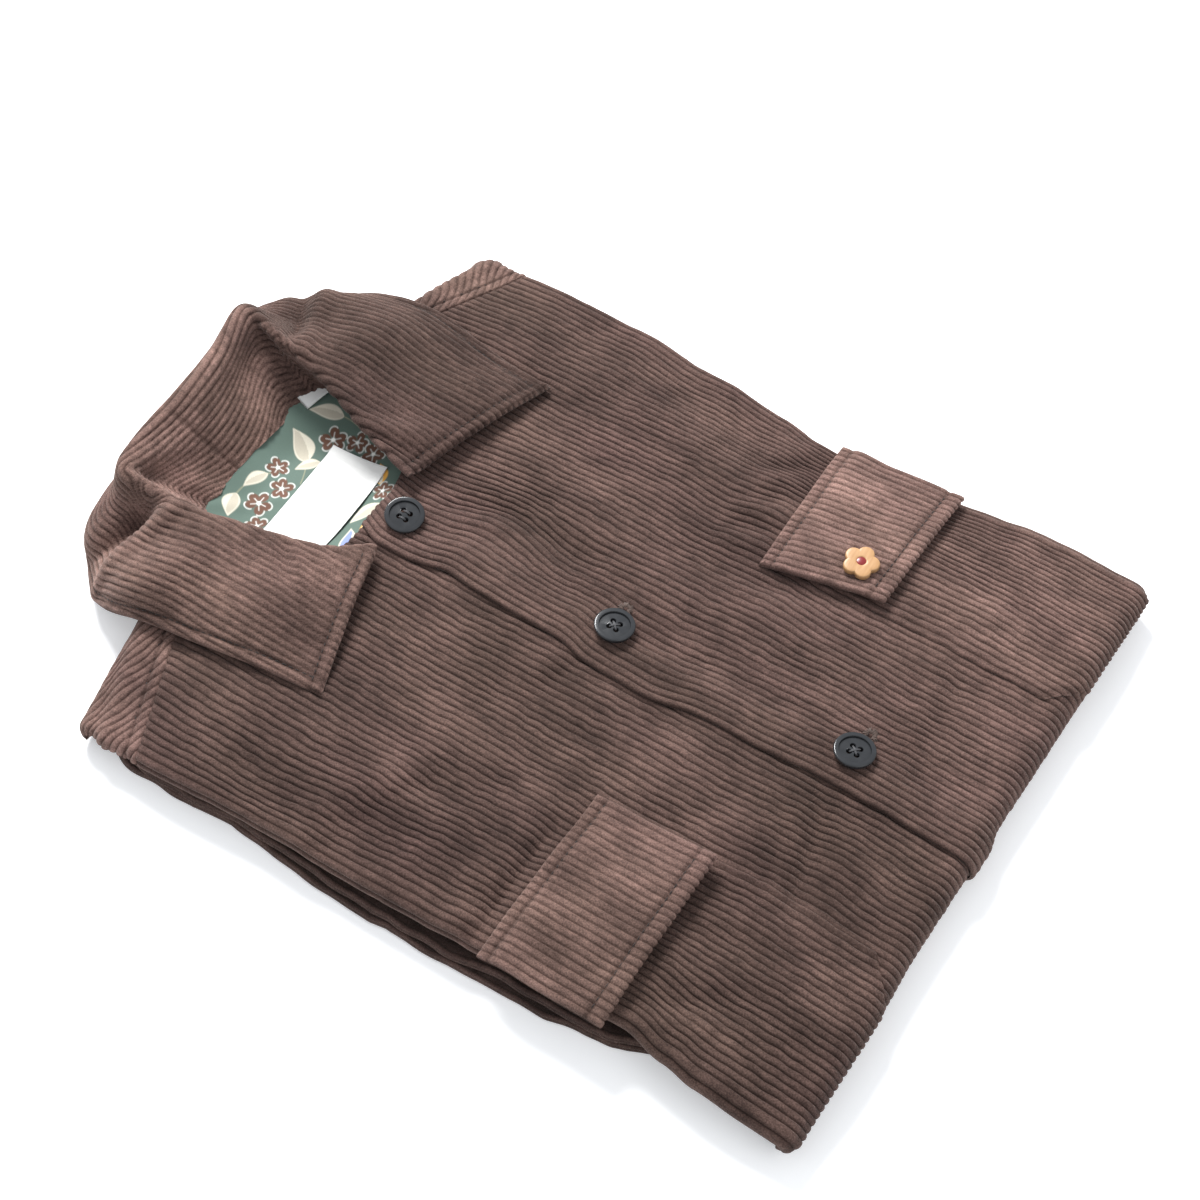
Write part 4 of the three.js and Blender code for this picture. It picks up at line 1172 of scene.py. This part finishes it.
def print_leaf(colours, x, y, f):
    """A bent leaf with a darker half, a pale edge and a stem."""
    along, across = turned(x - f["x"], y - f["y"], math.radians(f["turn"]))
    across = across - 0.02 * along**2
    share = np.clip(along / f["length"] + 0.5, 0, 1)
    half = 0.5 * f["width"] * np.sin(math.pi * share**0.75) + 0.01
    distance = np.where((share > 0) & (share < 1), np.abs(across) - half, 9)
    inner, outer = (("leaf", "cream"), ("blue", "cream"), ("cream", "gold"))[f["tint"]]
    stem = np.where((along < -0.4 * f["length"]) & (along > -1.1 * f["length"]), np.abs(across) - 0.25, 9)
    lay_colour(colours, "stem", edge_cover(stem))
    lay_colour(colours, outer, edge_cover(distance))
    lay_colour(colours, inner, edge_cover(distance + 0.7) * (across > -0.12 * f["width"]))


def neck_lining():
    """The printed cotton in the neck. Its points are as close as the print's lines need."""
    centre_x, centre_y, half_width, half_length, power, thick = LINING.values()
    x = spaced(centre_x - half_width, centre_x + half_width, PRINT_STEP)
    y = spaced(centre_y - half_length, centre_y + half_length, PRINT_STEP)
    x, y = np.meshgrid(x, y)
    out = super_radius(x - centre_x, y - centre_y, half_width, half_length, power)
    wrinkle = 0.25 * waves(x, y, 24, 101) + 0.5 * bell(x + y - 152, 5) - 0.4 * bell(x - y + 130, 6)
    z = neck_floor(x, y) + thick + wrinkle
    colours = np.ones(x.shape + (3,)) * np.array(PRINT["ground"])
    for f in LEAVES:
        print_leaf(colours, x, y, f)
    for b in BLOSSOMS:
        print_blossom(colours, x, y, b)
    quads = grid_quads(numbered(*x.shape))
    quads = quads[out.ravel()[quads].max(axis=1) < 1]
    used = np.unique(quads)
    number = np.zeros(x.size, int)
    number[used] = np.arange(len(used))
    points = np.stack([x, y, z], axis=-1).reshape(-1, 3)[used]
    obj = new_object("neck_lining_cloth", points, number[quads].tolist())
    attribute = obj.data.attributes.new("print", "FLOAT_COLOR", "POINT")
    rgba = np.concatenate([colours.reshape(-1, 3)[used], np.ones((len(used), 1))], axis=1)
    attribute.data.foreach_set("color", rgba.astype(np.float32).ravel())
    return obj


def lay_on_lining(size, u, v, height):
    """Points of a small piece that lies on the lining, from places on the piece itself."""
    x, y = turned(u, v, -math.radians(size["angle"]))
    x, y = size["x"] + x, size["y"] + y
    return np.stack([x, y, neck_floor(x, y) + LINING["thick"] + 2 * GAP + height], axis=-1)


def tape(name, size, curl):
    """A small woven piece with folded ends, lying on the lining."""
    half_width, half_height = size["width"] / 2, size["height"] / 2
    u, v = np.meshgrid(spaced(-half_width, half_width, 0.6), spaced(half_height, -half_height, 0.6))
    base = lay_on_lining(size, u, v, curl * np.abs(u / half_width) ** 4)
    base[..., 2] += 0.15 * waves(base[..., 0], base[..., 1], 30, 111)
    edge = np.minimum(half_width - np.abs(u), half_height - np.abs(v))
    thick = size["thick"] * (0.45 + 0.55 * roundness(edge, 0.5))
    fold = 0.25 * (1 - smoothstep(np.abs(np.abs(u) - half_width), 4.6, 5.2))
    outer = base + np.array([0, 0, 1.0]) * (thick + fold)[..., None]
    return wall(name, outer, base, 5, 5)


def folded_tab(name, size):
    """A small tape folded in two, one half lying on the other."""
    half, bend, thick = size["height"] / 2, 0.3, 0.4
    centre = bend + thick
    path = [(v, centre - bend, 0, -1) for v in np.linspace(half, centre - half, 10)]
    for angle in np.linspace(-math.pi / 2, -1.5 * math.pi, 9):
        c, s = math.cos(angle), math.sin(angle)
        path.append((centre - half + bend * c, centre + bend * s, c, s))
    path += [(v, centre + bend, 0, 1) for v in np.linspace(centre - half, half, 10)]
    v, height, out_v, out_height = (np.array(values)[:, None] for values in zip(*path))
    u = spaced(-size["width"] / 2, size["width"] / 2, 0.8)[None, :]
    outer = lay_on_lining(size, u, v + thick * out_v, height + thick * out_height)
    return wall(name, outer, lay_on_lining(size, u, v, height), 1, 4)


# Threads: stitches, buttonholes and what holds the buttons
def threads(name, starts, ends, radius, arch, sides=6, parts=5):
    """Short arched threads between pairs of points, as one mesh of closed tubes."""
    points, faces = [], []
    for start, end in zip(np.asarray(starts, float), np.asarray(ends, float)):
        axis = end - start
        axis /= max(np.linalg.norm(axis), 1e-9)
        side = np.cross(axis, (0, 0, 1.0))
        side /= max(np.linalg.norm(side), 1e-9)
        up = np.cross(side, axis)
        first = len(points)
        for k in range(parts):
            share = k / (parts - 1)
            centre = lerp(start, end, share) + up * arch * math.sin(math.pi * share)
            thick = radius * (0.55 + 0.45 * math.sin(math.pi * share))
            for s in range(sides):
                angle = 2 * math.pi * s / sides
                points.append(centre + thick * (math.cos(angle) * side + math.sin(angle) * up))
        for k in range(parts - 1):
            for s in range(sides):
                a, b = first + k * sides + s, first + k * sides + (s + 1) % sides
                faces.append([a, b, b + sides, a + sides])
        faces.append([first + s for s in range(sides)][::-1])
        faces.append([first + (parts - 1) * sides + s for s in range(sides)])
    return new_object(name, np.array(points), faces)


def stitched(name, lines, pitch=3.4, fill=0.72, radius=0.27, sink=0.15):
    """A row of stitches along each line of points that lie on the cloth."""
    starts, ends = [], []
    for line in lines:
        length = arc_lengths(line[None], 1)[0]
        first = np.arange(pitch * 0.4, length[-1] - pitch, pitch)
        for at, found in ((first, starts), (first + pitch * fill, ends)):
            found.append(np.stack([np.interp(at, length, line[:, k]) for k in range(3)], axis=1))
    starts, ends = np.concatenate(starts), np.concatenate(ends)
    drop = np.array([0, 0, sink])
    return threads(name, starts - drop, ends - drop, radius, 0.25)


def flap_line(side, down, start=0.02, end=0.98):
    """A line over a flap, on its upper cloth."""
    share = np.linspace(start, end, 160)
    line = flap_place(side, share, np.full(share.shape, down))
    line[:, 2] += FLAP_THICK - 0.1
    return line


def at_distance(points, length, distance):
    """The point of a line at this distance along it."""
    number = np.interp(distance, length, np.arange(len(length)))
    low = int(number)
    return lerp(points[low], points[min(low + 1, len(points) - 1)], number - low)


def collar_lines():
    """The collar's topstitching: along the free edge, and then down both front ends."""
    rows, columns = COLLAR_GRID
    middle = collar_middle(np.linspace(0, 1, rows), np.linspace(0, 1, columns))
    surface = middle + collar_normals(middle) * COLLAR_HALF
    from_edge = arc_lengths(middle[:, ::-1], 1)[:, ::-1]
    round_length = arc_lengths(middle, 0)
    trim = 5
    edge_line = [at_distance(surface[k], -from_edge[k], -COLLAR_STITCH) for k in range(trim, rows - trim)]
    fall = range(int(columns * STAND_SHARE) + 6, columns - len(COLLAR_EDGE_STEPS))
    right_end = [at_distance(surface[:, c], round_length[:, c], COLLAR_STITCH) for c in fall]
    left_end = [
        at_distance(surface[:, c], round_length[:, c], round_length[-1, c] - COLLAR_STITCH) for c in fall
    ]
    return [np.array(line) for line in (edge_line, right_end, left_end)]


def stitch_rows():
    """Lines of topstitching on the flaps, the yokes and the collar."""
    lines = []
    for side in SIDE_WORD:
        lines.append(flap_line(side, FLAP_SEAM_TOP))
        lines.append(flap_line(side, FLAP_SEAM_LOW, 0.06))
        across = np.linspace(80, 150, 120) * side
        lines.append(place(across, front_top(across) + YOKE_STITCH + 0.1, YOKE_LIFT + WALL))
    return lines + collar_lines()


def fine_stitch_rows():
    """Lines of finer stitches along the pockets' inner edges."""
    lines = []
    for side in SIDE_WORD:
        across = np.full(120, POCKETS[side]["inner"] + side * POCKET_STITCH)
        along = np.linspace(POCKET_TOP, pocket_end(side, across[0]) + 1, 120)
        lines.append(front_place(across, along, POCKET_LIFT + POCKET_THICK, side > 0))
    return lines


def buttonhole(number, x, y, begin, end, seed):
    """The round end of a worked buttonhole: radial stitches, some of them frayed."""
    rng = np.random.default_rng(seed)
    starts, ends = [], []
    for angle in np.radians(np.arange(begin, end, 9)):
        for _ in range(2):
            inner = 1.1 + rng.uniform(-0.2, 0.2)
            outer = 3.2 + rng.uniform(-0.6, 0.9)
            bend = rng.uniform(-0.16, 0.16)
            for radius, turn, found in ((inner, angle, starts), (outer, angle + bend, ends)):
                px, py = x + radius * math.cos(turn), y + radius * math.sin(turn)
                z = front_place(px, py, left_front_lift(px) + WALL + RIB * rng.uniform(0.5, 1.1), True)[2]
                found.append((px, py, z))
    for step in np.arange(0, 9, 0.8):
        for sign in (-1, 1):
            px = x - 1 - step
            for py, found in ((y + sign * 0.8, starts), (y + sign * (2.7 + rng.uniform(-0.3, 0.5)), ends)):
                z = front_place(px, py, left_front_lift(px) + WALL + RIB * 0.9, True)[2]
                found.append((px + rng.uniform(-0.2, 0.2), py, z))
    return threads(f"buttonhole_{number}", starts, ends, 0.24, 0.35)


# Buttons and the flower
def lathe(profile, sides):
    """Points and faces of a turned form, from a profile of radii and heights that runs upwards."""
    rings = []
    for k in range(sides):
        angle = 2 * math.pi * k / sides
        rings.append([(r * math.cos(angle), r * math.sin(angle), z) for r, z in profile])
    at = numbered(sides, len(profile))
    at = np.concatenate([at, at[:1]], axis=0)
    faces = grid_quads(at)[:, ::-1].tolist() + [at[:-1, 0][::-1].tolist(), at[:-1, -1].tolist()]
    return np.array(rings).reshape(-1, 3), faces


def button_profile():
    """A button's section: a round-edged underside, the raised rim and the dish inside it."""
    radius, thick, rim, dish = (BUTTON[key] for key in ("radius", "thick", "rim", "dish"))
    side = [(0.05, 0), (radius - 2.6, 0), (radius - 1.2, 0.35), (radius - 0.4, 0.95)]
    for angle in np.linspace(-0.9, 1.57, 9):
        side.append((radius - 0.7 + 0.7 * math.cos(angle), thick - 0.75 + 0.75 * math.sin(angle)))
    for angle in np.linspace(1.57, 0.1, 6):
        side.append((radius - rim - 0.55 + 0.55 * math.cos(angle), thick - 0.55 + 0.55 * math.sin(angle)))
    side += [(radius - rim - 0.35, thick - dish - 0.05), (radius - rim - 0.9, thick - dish)]
    side += [(3.6, thick - dish - 0.12), (3.0, thick - dish - 0.02), (0.05, thick - dish)]
    return side


def seat_of(box):
    """The middle of a box's underside, in metres."""
    low, high = box
    return Vector(((low[0] + high[0]) / 2, (low[1] + high[1]) / 2, low[2]))


def button_object(node, tilt):
    """A button with its holes, on its place but not yet tilted, and the matrix that tilts it there."""
    hole, spread = BUTTON["hole"], BUTTON["spread"]
    points, faces = lathe(button_profile(), 72)
    obj = linked(node + "_fine", new_mesh(node + "_turned", points * 0.001, faces))
    drill_profile = [(0.02, -1), (hole, -1), (hole, 1.8), (hole + 0.35, 2.45), (0.02, 4)]
    drill_points, drill_faces = lathe(drill_profile, 20)
    drills = []
    for sx, sy in ((1, 1), (1, -1), (-1, 1), (-1, -1)):
        moved = drill_points + (sx * spread, sy * spread, 0)
        drill = linked("drill", new_mesh("drill", moved * 0.001, drill_faces))
        cut = obj.modifiers.new("hole", "BOOLEAN")
        cut.operation = "DIFFERENCE"
        cut.object = drill
        cut.solver = "EXACT"
        drills.append(drill)
    bpy.context.view_layer.update()
    evaluated = obj.evaluated_get(bpy.context.evaluated_depsgraph_get())
    obj.data = bpy.data.meshes.new_from_object(evaluated)
    obj.modifiers.clear()
    for drill in drills:
        bpy.data.objects.remove(drill)
    smooth(obj.data)
    obj.data.set_sharp_from_angle(angle=math.radians(28))
    turn_x, turn_y = (math.radians(degrees) for degrees in tilt)
    seat = seat_of(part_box(node))
    seat.z += 0.001 * (BUTTON["radius"] - 1) * (abs(math.sin(turn_x)) + abs(math.sin(turn_y))) * 0.8
    matrix = Matrix.Translation(seat) @ Euler((turn_x, turn_y, 0)).to_matrix().to_4x4()
    obj.data.transform(matrix)
    return obj, matrix


def button_threads(node, matrix, barred):
    """Threads through a button's four holes, in two bars or crossed."""
    s, top = BUTTON["spread"], BUTTON["thick"] - BUTTON["dish"] - 0.35
    crossed = [((-s, -s), (s, s)), ((-s, s), (s, -s))]
    bars = [((-s, -s), (-s, s)), ((s, -s), (s, s))]
    starts, ends = [], []
    for number, (a, b) in enumerate(bars if barred else crossed):
        for step in (-0.22, 0.22):
            shift = (step, 0) if barred else (step * 0.7, step * 0.7 * (1 if number else -1))
            starts.append((a[0] + shift[0], a[1] + shift[1], top + 0.1 * number))
            ends.append((b[0] + shift[0], b[1] + shift[1], top + 0.1 * number))
    obj = threads(node + "_thread", starts, ends, 0.26, 0.6, sides=7, parts=7)
    undo_metres = Matrix.Translation((0, MID_LENGTH * 0.001, 0))
    obj.data.transform(matrix @ undo_metres)
    return obj


def flower_objects():
    """The wooden flower with its round-edged petals, and the dark eye in its middle."""
    radius, petals, petal, eye_radius = (FLOWER[key] for key in ("radius", "petals", "petal", "eye"))
    angles = np.linspace(0, 2 * math.pi, 120, endpoint=False)
    turn = 2 * math.pi / petals
    off = (angles + turn / 2) % turn - turn / 2
    reach = radius - petal
    outline = reach * np.cos(off) + np.sqrt(petal**2 - (reach * np.sin(off)) ** 2)
    layers = [(0.97, 0), (1, 0.35), (1, 2.0), (0.985, 2.45), (0.95, 2.72), (0.9, 2.82)]
    layers += [(share, 2.82 + 0.12 * math.sin(share * 3)) for share in (0.75, 0.6, 0.42, 0.34)]
    layers += [(0.3, 2.75), (0.285, 2.3), (0.02, 2.25)]
    centre = np.array(seat_of(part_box("flower_button"))) * 1000 + (0, MID_LENGTH, 0)
    rings = []
    for share, z in layers:
        inner = 1 - smoothstep(share, 0.25, 0.6)
        r = share * lerp(outline, radius * 0.85, inner)
        rings.append(np.stack([r * np.cos(angles), r * np.sin(angles), np.full(len(angles), z)], axis=-1))
    points = np.array(rings) + centre
    flower = new_object("flower_fine", points.reshape(-1, 3), ring_faces(*points.shape[:2]))
    eye_profile = [(0.02, 1.9)]
    for angle in np.linspace(-0.3, 1.5, 9):
        eye_profile.append((eye_radius * math.cos(angle), 2.35 + 0.75 * math.sin(angle)))
    eye_points, eye_faces = lathe(eye_profile, 40)
    return flower, new_object("flower_eye", eye_points + centre, eye_faces)


# Materials
class Shader:
    """A material's node tree, built with short calls."""

    def __init__(self, name, **values):
        self.material = bpy.data.materials.new(name)
        self.material.use_nodes = True
        self.tree = self.material.node_tree
        self.bsdf = self.tree.nodes["Principled BSDF"]
        for key, value in values.items():
            self.bsdf.inputs[key.replace("_", " ")].default_value = value

    def node(self, kind, inputs=(), **settings):
        made = self.tree.nodes.new(kind)
        for key, value in settings.items():
            setattr(made, key, value)
        for key, value in dict(inputs).items():
            if isinstance(value, bpy.types.NodeSocket):
                self.tree.links.new(value, made.inputs[key])
            else:
                made.inputs[key].default_value = value
        return made

    def number(self, name):
        return self.node("ShaderNodeAttribute", attribute_name=name).outputs["Fac"]

    def maths(self, operation, a, b=0.0):
        return self.node("ShaderNodeMath", {0: a, 1: b}, operation=operation).outputs[0]

    def noise(self, scale, detail=2.0, stretch=(1, 1, 1)):
        where = self.node("ShaderNodeTexCoord").outputs["Object"]
        if stretch != (1, 1, 1):
            where = self.node("ShaderNodeMapping", {"Vector": where, "Scale": stretch}).outputs[0]
        inputs = {"Vector": where, "Scale": scale, "Detail": detail}
        return self.node("ShaderNodeTexNoise", inputs).outputs["Fac"]

    def span(self, value, low, high):
        """The value from 0 to 1, spread from low to high."""
        return self.node("ShaderNodeMapRange", {"Value": value, "To Min": low, "To Max": high}).outputs[0]

    def mix(self, share, a, b, blend="MIX"):
        made = self.node("ShaderNodeMix", data_type="RGBA", blend_type=blend)
        for socket, value in ((made.inputs[0], share), (made.inputs[6], a), (made.inputs[7], b)):
            if isinstance(value, bpy.types.NodeSocket):
                self.tree.links.new(value, socket)
            else:
                socket.default_value = value if not isinstance(value, tuple) else (*value, 1)
        return made.outputs[2]

    def scaled(self, colour, factor):
        """A colour times a number."""
        grey = self.node("ShaderNodeCombineColor", {0: factor, 1: factor, 2: factor}).outputs[0]
        return self.mix(1.0, colour, grey, "MULTIPLY")

    def colour(self, value):
        self.tree.links.new(value, self.bsdf.inputs["Base Color"])

    def bump(self, height, strength, distance):
        inputs = {"Height": height, "Strength": strength, "Distance": distance}
        self.tree.links.new(self.node("ShaderNodeBump", inputs).outputs[0], self.bsdf.inputs["Normal"])


# How the nap is speckled, from the finest speckle to the largest patches
NAP_SPECKLE = table(
    "scale detail stretch low high",
    (1500, 3, 1, 0.0, 2.0),
    (420, 2, 0.35, 0.45, 1.55),
    (75, 3, 0.5, 0.4, 1.6),
    (24, 2, 0.6, 0.55, 1.45),
)


def corduroy():
    s = Shader(
        "corduroy",
        Roughness=0.95,
        Specular_IOR_Level=0.12,
        Sheen_Weight=0.22,
        Sheen_Roughness=0.35,
        Sheen_Tint=(1.0, 0.84, 0.76, 1),
    )
    # Painted shade between the ribs: the rib number, 1 on a crest and 0 in a groove, mixes a light crest
    # colour with a dark groove colour
    groove, crest, violet = (0.024, 0.0132, 0.01), (0.1, 0.0632, 0.0512), (0.9, 0.86, 0.92)
    body = s.mix(s.maths("POWER", s.number("rib"), 0.7), groove, crest)
    body = s.mix(s.span(s.noise(20, 3, (1, 0.6, 1)), -0.6, 1.6), body, s.mix(1.0, body, violet, "MULTIPLY"))
    level = s.number("tone")
    for row in NAP_SPECKLE:
        speckle = s.noise(row["scale"], row["detail"], (1, row["stretch"], 1))
        level = s.maths("MULTIPLY", level, s.span(speckle, row["low"], row["high"]))
    # Darker along seams: partly the pile pressed flat there, partly painted shade in the seam's dip
    level = s.maths("MULTIPLY", level, s.span(s.number("press"), 1.0, 0.72))
    s.colour(s.scaled(body, level))
    pile_height = s.maths("ADD", s.noise(2600, 3), s.maths("MULTIPLY", s.noise(900, 2), 0.8))
    s.bump(pile_height, 0.8, 0.0006)
    return s.material


def plain_thread(name, colour, roughness=0.7):
    s = Shader(name, Roughness=roughness, Specular_IOR_Level=0.3, Sheen_Weight=0.2)
    darker = tuple(0.6 * c for c in colour)
    s.colour(s.scaled(s.mix(s.noise(900, 2), colour, darker), s.span(s.noise(4000, 1), 0.8, 1.2)))
    s.bump(s.noise(5000, 1), 0.4, 0.0001)
    return s.material


def lining_cloth():
    s = Shader("printed_lining", Roughness=0.75, Specular_IOR_Level=0.25, Sheen_Weight=0.15)
    printed = s.node("ShaderNodeAttribute", attribute_name="print").outputs["Color"]
    s.colour(s.scaled(printed, s.span(s.noise(3000, 2), 0.85, 1.15)))
    s.bump(s.noise(4200, 1), 0.25, 0.0001)
    return s.material


def label_tape():
    s = Shader("label_tape", Roughness=0.6, Specular_IOR_Level=0.3, Sheen_Weight=0.2)
    where = s.node("ShaderNodeTexCoord").outputs["Object"]
    weave = s.node("ShaderNodeTexWave", {"Vector": where, "Scale": 700.0, "Distortion": 0.6}).outputs["Fac"]
    white = s.mix(s.noise(60, 2), (0.86, 0.86, 0.84), (0.8, 0.8, 0.78))
    s.colour(s.scaled(white, s.span(weave, 0.94, 1.02)))
    s.bump(weave, 0.3, 0.0001)
    return s.material


def button_plastic():
    s = Shader(
        "button_plastic", Roughness=0.19, Specular_IOR_Level=0.3, Coat_Weight=0.25, Coat_Roughness=0.07
    )
    s.colour(s.mix(s.noise(240, 3), (0.012, 0.013, 0.015), (0.026, 0.028, 0.031)))
    s.bump(s.noise(1500, 2), 0.06, 0.0001)
    return s.material


def light_wood():
    s = Shader("light_wood", Roughness=0.42, Specular_IOR_Level=0.4, Coat_Weight=0.15, Coat_Roughness=0.3)
    grain = s.noise(420, 4, (0.35, 2.2, 1))
    s.colour(s.mix(grain, (0.5, 0.3, 0.14), (0.33, 0.165, 0.065)))
    s.bump(grain, 0.25, 0.0002)
    return s.material


def red_eye():
    s = Shader("red_eye", Roughness=0.3, Specular_IOR_Level=0.5)
    s.colour(s.mix(s.noise(600, 2), (0.22, 0.02, 0.02), (0.15, 0.01, 0.012)))
    return s.material


def white_floor():
    s = Shader("white_floor", Roughness=0.8, Specular_IOR_Level=0.1, Emission_Strength=0.24)
    s.bsdf.inputs["Emission Color"].default_value = (1, 1, 1, 1)
    s.colour(s.mix(s.noise(3, 2), (0.93, 0.94, 0.95), (0.95, 0.95, 0.95)))
    return s.material


# Camera, floor and light
LOOK_AT = Vector((0.011, -0.0195, 0.0255))
HEADING = Vector((0.848, 0.530, 0)).normalized()
ELEVATION = math.radians(58.5)
DISTANCE = 0.921
LENS_MM = 60
SENSOR_MM = 36
# Lights as discs: ahead of the camera's heading, to its right and up, in metres, with size and watts
LIGHTS = table(
    "name ahead right up size power",
    ("key", 1.25, -0.35, 1.25, 0.75, 62),
    ("fill", -0.9, 1.2, 1.6, 1.6, 6),
)
SKY = (0.93, 0.96, 1.0, 1)
SKY_STRENGTH = 0.8
FLOOR_HALF = 40.0


def add_camera():
    data = bpy.data.cameras.new("camera")
    data.lens = LENS_MM
    data.sensor_width = SENSOR_MM
    data.clip_start = 0.01
    camera = linked("camera", data)
    away = -HEADING * math.cos(ELEVATION) + Vector((0, 0, math.sin(ELEVATION)))
    camera.location = LOOK_AT + away * DISTANCE
    camera.rotation_euler = (-away).to_track_quat("-Z", "Y").to_euler()
    bpy.context.scene.camera = camera


def add_light(row):
    data = bpy.data.lights.new(row["name"], "AREA")
    data.shape = "DISK"
    data.size = row["size"]
    data.energy = row["power"]
    light = linked(row["name"], data)
    right = Vector((HEADING.y, -HEADING.x, 0))
    light.location = HEADING * row["ahead"] + right * row["right"] + Vector((0, 0, row["up"]))
    light.rotation_euler = (LOOK_AT - light.location).to_track_quat("-Z", "Y").to_euler()


def add_studio():
    for row in LIGHTS:
        add_light(row)
    world = bpy.data.worlds.new("studio")
    world.use_nodes = True
    background = world.node_tree.nodes["Background"]
    background.inputs["Color"].default_value = SKY
    background.inputs["Strength"].default_value = SKY_STRENGTH
    bpy.context.scene.world = world
    bpy.context.scene.view_settings.view_transform = "Standard"
    corners = [(-1, -1, 0), (1, -1, 0), (1, 1, 0), (-1, 1, 0)]
    floor = linked("floor", new_mesh("floor", np.array(corners) * FLOOR_HALF, [(0, 1, 2, 3)]))
    floor.data.materials.append(white_floor())


def build():
    cloth = corduroy()
    dark_thread = plain_thread("dark_thread", (0.02, 0.0125, 0.01))
    brown_thread = plain_thread("brown_thread", (0.1, 0.065, 0.052))
    black_thread = plain_thread("black_thread", (0.07, 0.07, 0.075), 0.5)
    white = label_tape()
    plastic = button_plastic()
    on_layers = {"held": "folded", "rests_on": ["folded_layers"]}
    keep(folded_layers(), cloth, "corduroy", ["hidden_layers"], flat=(0.32, 0.42), held="folded")
    keep(right_front(), cloth, "corduroy", ["right_front"], flat=(0.157, 0.375), **on_layers)
    keep(left_front(), cloth, "corduroy", ["left_front"], flat=(0.18, 0.375), **on_layers)
    for side, word in SIDE_WORD.items():
        on_front = [f"{word}_front_cloth"]
        keep(yoke(side), cloth, "corduroy", [f"{word}_yoke"], flat=(0.09, 0.048), **on_layers)
        keep(
            pocket(side), cloth, "corduroy", [f"{word}_pocket"],
            flat=(0.09, 0.135), held="folded", rests_on=on_front,
        )
        keep(
            flap(side), cloth, "corduroy", [f"{word}_flap"],
            flat=(0.086, 0.062), held="laid", rests_on=on_front,
        )
    keep(
        collar(), cloth, "corduroy", ["collar"],
        flat=(0.46, 0.11), held="folded", rests_on=["left_front_cloth"],
    )
    keep(
        neck_lining(), lining_cloth(), "lining", ["neck_lining"],
        flat=(0.108, 0.076), held="laid", rests_on=["folded_layers"],
    )
    keep(
        tape("neck_label_tape", LABEL, 0.8), white, "label", ["neck_label"],
        flat=(0.064, 0.033), held="laid", rests_on=["neck_lining_cloth"],
    )
    keep(
        folded_tab("size_tab_tape", SIZE_TAB), white, "label", ["size_tab"],
        flat=(0.015, 0.016), held="folded", rests_on=["neck_lining_cloth"],
    )
    for number, tilt in enumerate(BUTTON_TILTS, 1):
        node = f"button_{number}"
        button, matrix = button_object(node, tilt)
        keep(button, plastic, "button", [node])
        keep(button_threads(node, matrix, number == 1), black_thread, "button")
    flower, eye = flower_objects()
    keep(flower, light_wood(), "wood", ["flower_button"])
    keep(eye, red_eye(), "wood")
    keep(stitched("topstitching", stitch_rows()), dark_thread, "corduroy")
    keep(stitched("pocket_stitching", fine_stitch_rows(), 2.8, 0.75, 0.22), brown_thread, "corduroy")
    for row in BUTTONHOLES:
        keep(buttonhole(**row), brown_thread, "corduroy")


add_camera()
add_studio()
build()
